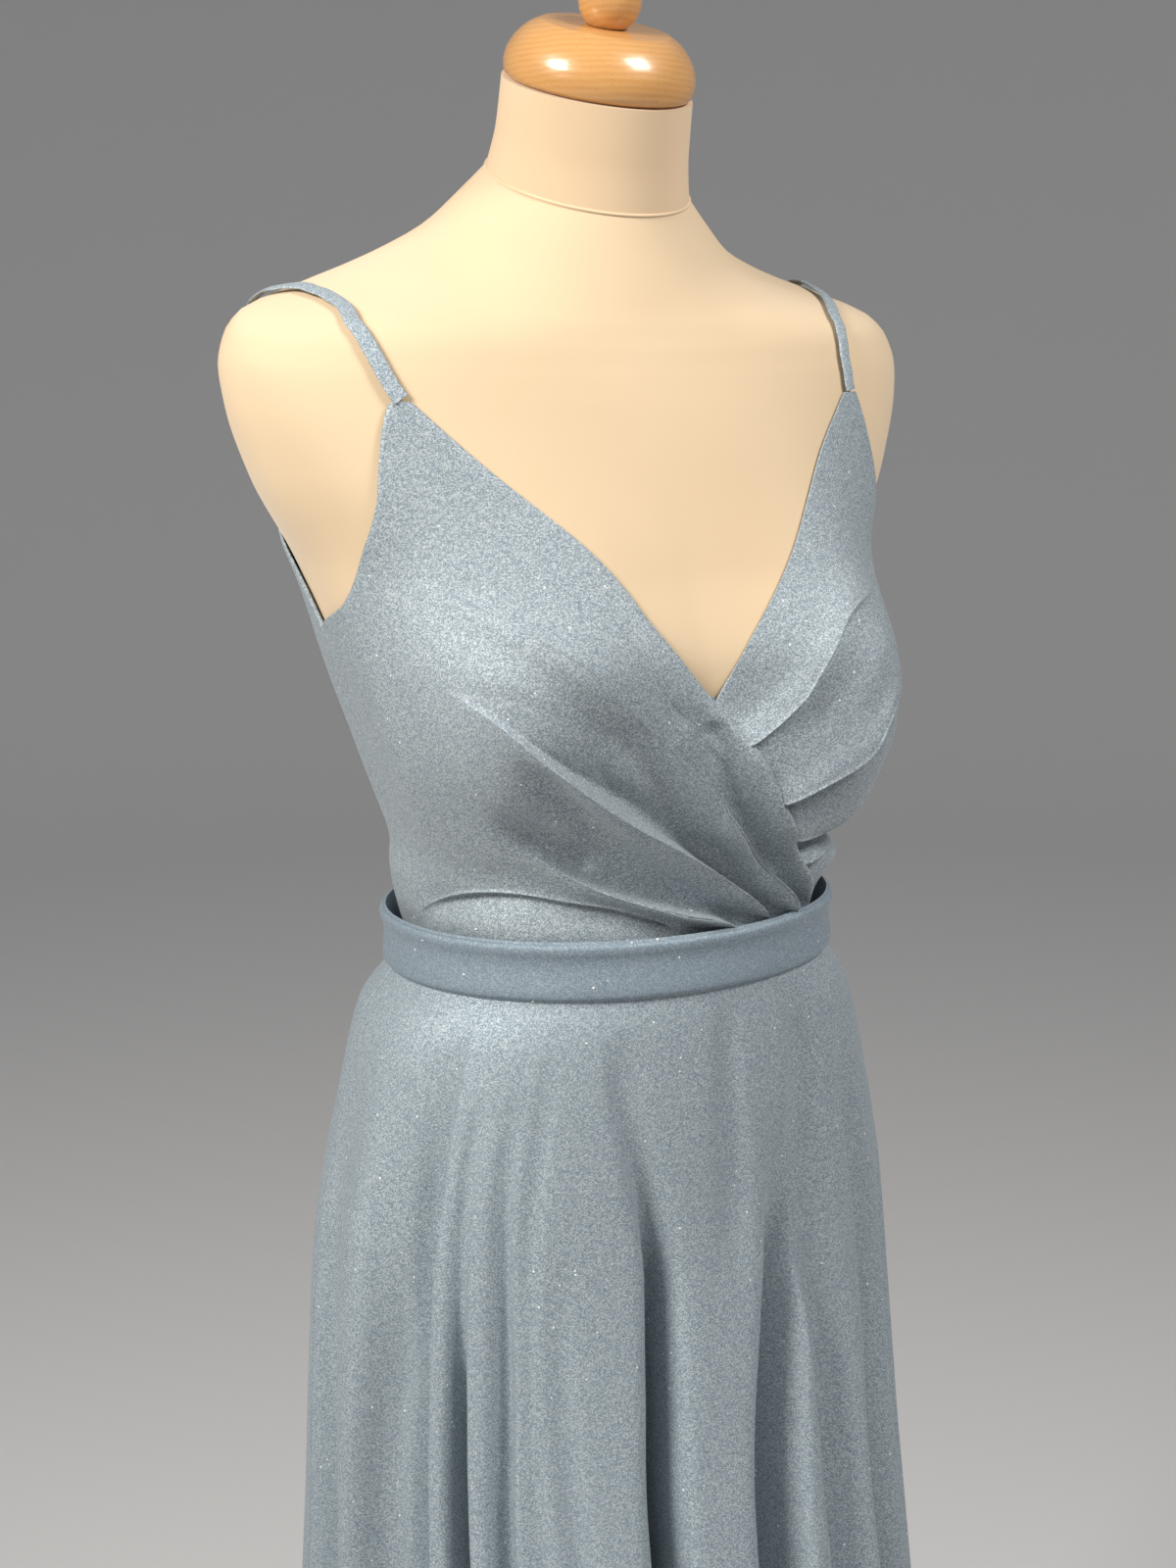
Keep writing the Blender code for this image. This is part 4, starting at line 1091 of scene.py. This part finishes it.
def closed_curve(points, steps):
    """A smooth closed curve through points, each row of the result one step along it."""
    looped = np.array([*points[-2:], *points, *points[:3]], float)
    keys = np.arange(len(looped), dtype=float)
    at = 2 + np.arange(steps) * len(points) / steps
    return cubic(keys, looped, np.gradient(looped, axis=0), at)


def make_belt():
    """The belt's ring, widened and lifted by each step round the outline of its section."""
    rings = []
    for lift, out in closed_curve(BELT, BELT_STEPS) * MM:
        wide = Section(0, *np.add(BELT_RING[1:4], out), *BELT_RING[4:])
        rings.append(ring_point((wide, wide._replace(height=1)), around(BELT_SIDES), 0) + (0, 0, lift))
    return closed_tube("belt_band", np.array(rings), belt_finish)


belt = stand_for(make_belt(), KNIT, "belt")

# %% [markdown]
# ## The straps
#
# Each strap is a narrow tube of cloth, pressed flat. It leaves the point of its front, goes over the
# shoulder and comes down to the back's top edge. A bevelled curve could make it too, but rings square to
# the form keep it flat on the shoulder.

# %% Straps
STRAP_WIDTH, STRAP_WALL, STRAP_CLEAR = 0.008, 0.0017, 0.0018
RIGHT_STRAP = (
    (-42.6, 292.2), (-43.4, 297.2), (-44.4, 304.3), (-45.6, 311.2), (-47, 317.8), (-49, 324.2),
    (-52, 330.2), (-56.5, 335), (-63, 339), (-70.5, 341.3), (-78, 342.4), (-85, 342.4), (-92, 341),
    (-99, 339), (-108, 337), (-117, 331), (-126, 316), (-132, 293), (-135.5, 268), (-136.5, 254.5),
    (-136.5, 249),
)
LEFT_STRAP = (
    (39.9, 292.2), (39.6, 296), (39.5, 301.5), (39.5, 307.5), (39.8, 313.5), (40.5, 319.3), (41.6, 324.7),
    (43.4, 329.9), (46.5, 334.5), (52, 338.4), (59.5, 341.1), (68, 343), (77, 344.1), (86, 344.7),
    (95, 344), (106, 340.5), (117, 332), (126, 317), (132, 293), (135.5, 268), (136.5, 254.5),
    (136.5, 249),
)
STRAP_STEPS, STRAP_SIDES, STRAP_ROUND = 220, 20, 0.8


def make_strap(name, path):
    """A flat tube along the path, square to the form."""
    degrees, heights = stepped(path, STRAP_STEPS).T
    angle, height = np.radians(degrees), heights * MM
    middle = lay(form_point, angle, height, np.full(STRAP_STEPS, STRAP_CLEAR + STRAP_WALL / 2))
    out = unit(middle - form_point(angle, height))[:, None]
    across = unit(np.cross(np.gradient(middle, axis=0)[:, None], out))
    turn = around(STRAP_SIDES)[:, None]
    aside = squared(np.cos(turn), STRAP_ROUND) * STRAP_WIDTH / 2
    upward = squared(np.sin(turn), STRAP_ROUND) * STRAP_WALL / 2
    rings = middle[:, None] + across * aside + out * upward
    return solid_of_rings(name, rings, dress_finish), np.linalg.norm(np.diff(middle, axis=0), axis=1).sum()


strap_right, right_length = make_strap("strap_over_right", RIGHT_STRAP)
strap_left, left_length = make_strap("strap_over_left", LEFT_STRAP)
stand_for(strap_right, KNIT, "strap_right")
stand_for(strap_left, KNIT, "strap_left")
print(f"strap lengths: {right_length:.3f} m and {left_length:.3f} m")

# %% [markdown]
# ## The sheets of cloth
#
# The dress has eight pieces of cloth, each cut to a size of its own; a cut's area is less than its
# rectangle because the edges slant. Here they are only counted.

# %% Sheets
print("8 sheets")

# %% [markdown]
# ## Stage and light
#
# A pale floor sweeps up behind the dress all round, far enough away to stay clear of every view. A large
# soft light on the wearer's right does most of the work. It rakes across the pleats and folds, so that each
# one has a light and a dark side. A weaker one, higher up and nearer the front, fills the shade.

# %% Stage
FLOOR_FLAT, FLOOR_EDGE, SWEEP_HEIGHT = 5.0, 9.0, 7.0
STAGE_SIDES, SWEEP_STEPS = 96, 16


def make_stage():
    pale = Nodes("pale_floor")
    pale.put({"Base Color": (0.80, 0.79, 0.78), "Roughness": 0.9})
    turn = np.linspace(0, np.pi / 2, SWEEP_STEPS)[1:]
    radii = [1.0, 2.5, FLOOR_FLAT, *(FLOOR_FLAT + (FLOOR_EDGE - FLOOR_FLAT) * np.sin(turn))]
    heights = [0, 0, 0, *(SWEEP_HEIGHT * (1 - np.cos(turn)))]
    rings = [tilted_ring(radius, up, around(STAGE_SIDES), FLOOR) for radius, up in zip(radii, heights)]
    faces = [tuple(corner + 1 for corner in face) for face in grid_faces(len(rings), STAGE_SIDES, True)]
    faces += [(0, 1 + side, 1 + (side + 1) % STAGE_SIDES) for side in range(STAGE_SIDES)]
    stage = add_piece("pale_sweep", np.concatenate([np.zeros((1, 3)), *rings]), faces, pale.material)


make_stage()
print("stage reaches", FLOOR_EDGE, "m out")

# %% Lights
Lamp = namedtuple("Lamp", "name heading rise away size power colour")
LAMPS = (
    Lamp("key", -76, 32, 2.1, 0.7, 53, (1.0, 0.97, 0.92)),
    Lamp("fill", 28, 44, 2.1, 0.7, 33, (1.0, 0.98, 0.95)),
)
AIM = Vector((0, 0, 1.22))
SKY_COLOUR, SKY_STRENGTH = (0.80, 0.82, 0.86, 1), 0.29


def make_lights():
    for lamp in LAMPS:
        light = bpy.data.lights.new(lamp.name, "AREA")
        light.shape = "SQUARE"
        light.size = lamp.size
        light.energy = lamp.power
        light.color = lamp.colour
        holder = bpy.data.objects.new(lamp.name, light)
        bpy.context.scene.collection.objects.link(holder)
        heading, lifted = np.radians(lamp.heading), np.radians(lamp.rise)
        level, up = lamp.away * np.cos(lifted), lamp.away * np.sin(lifted)
        towards = Vector((level * np.sin(heading), -level * np.cos(heading), up))
        holder.location = AIM + towards
        holder.rotation_euler = towards.to_track_quat("Z", "Y").to_euler()


def make_world():
    world = bpy.data.worlds.new("pale_world")
    world.use_nodes = True
    sky = world.node_tree.nodes["Background"].inputs
    sky["Color"].default_value, sky["Strength"].default_value = SKY_COLOUR, SKY_STRENGTH
    bpy.context.scene.world = world


make_lights()
make_world()
bpy.context.scene.view_settings.view_transform = "Standard"
print(len(LAMPS), "lights")
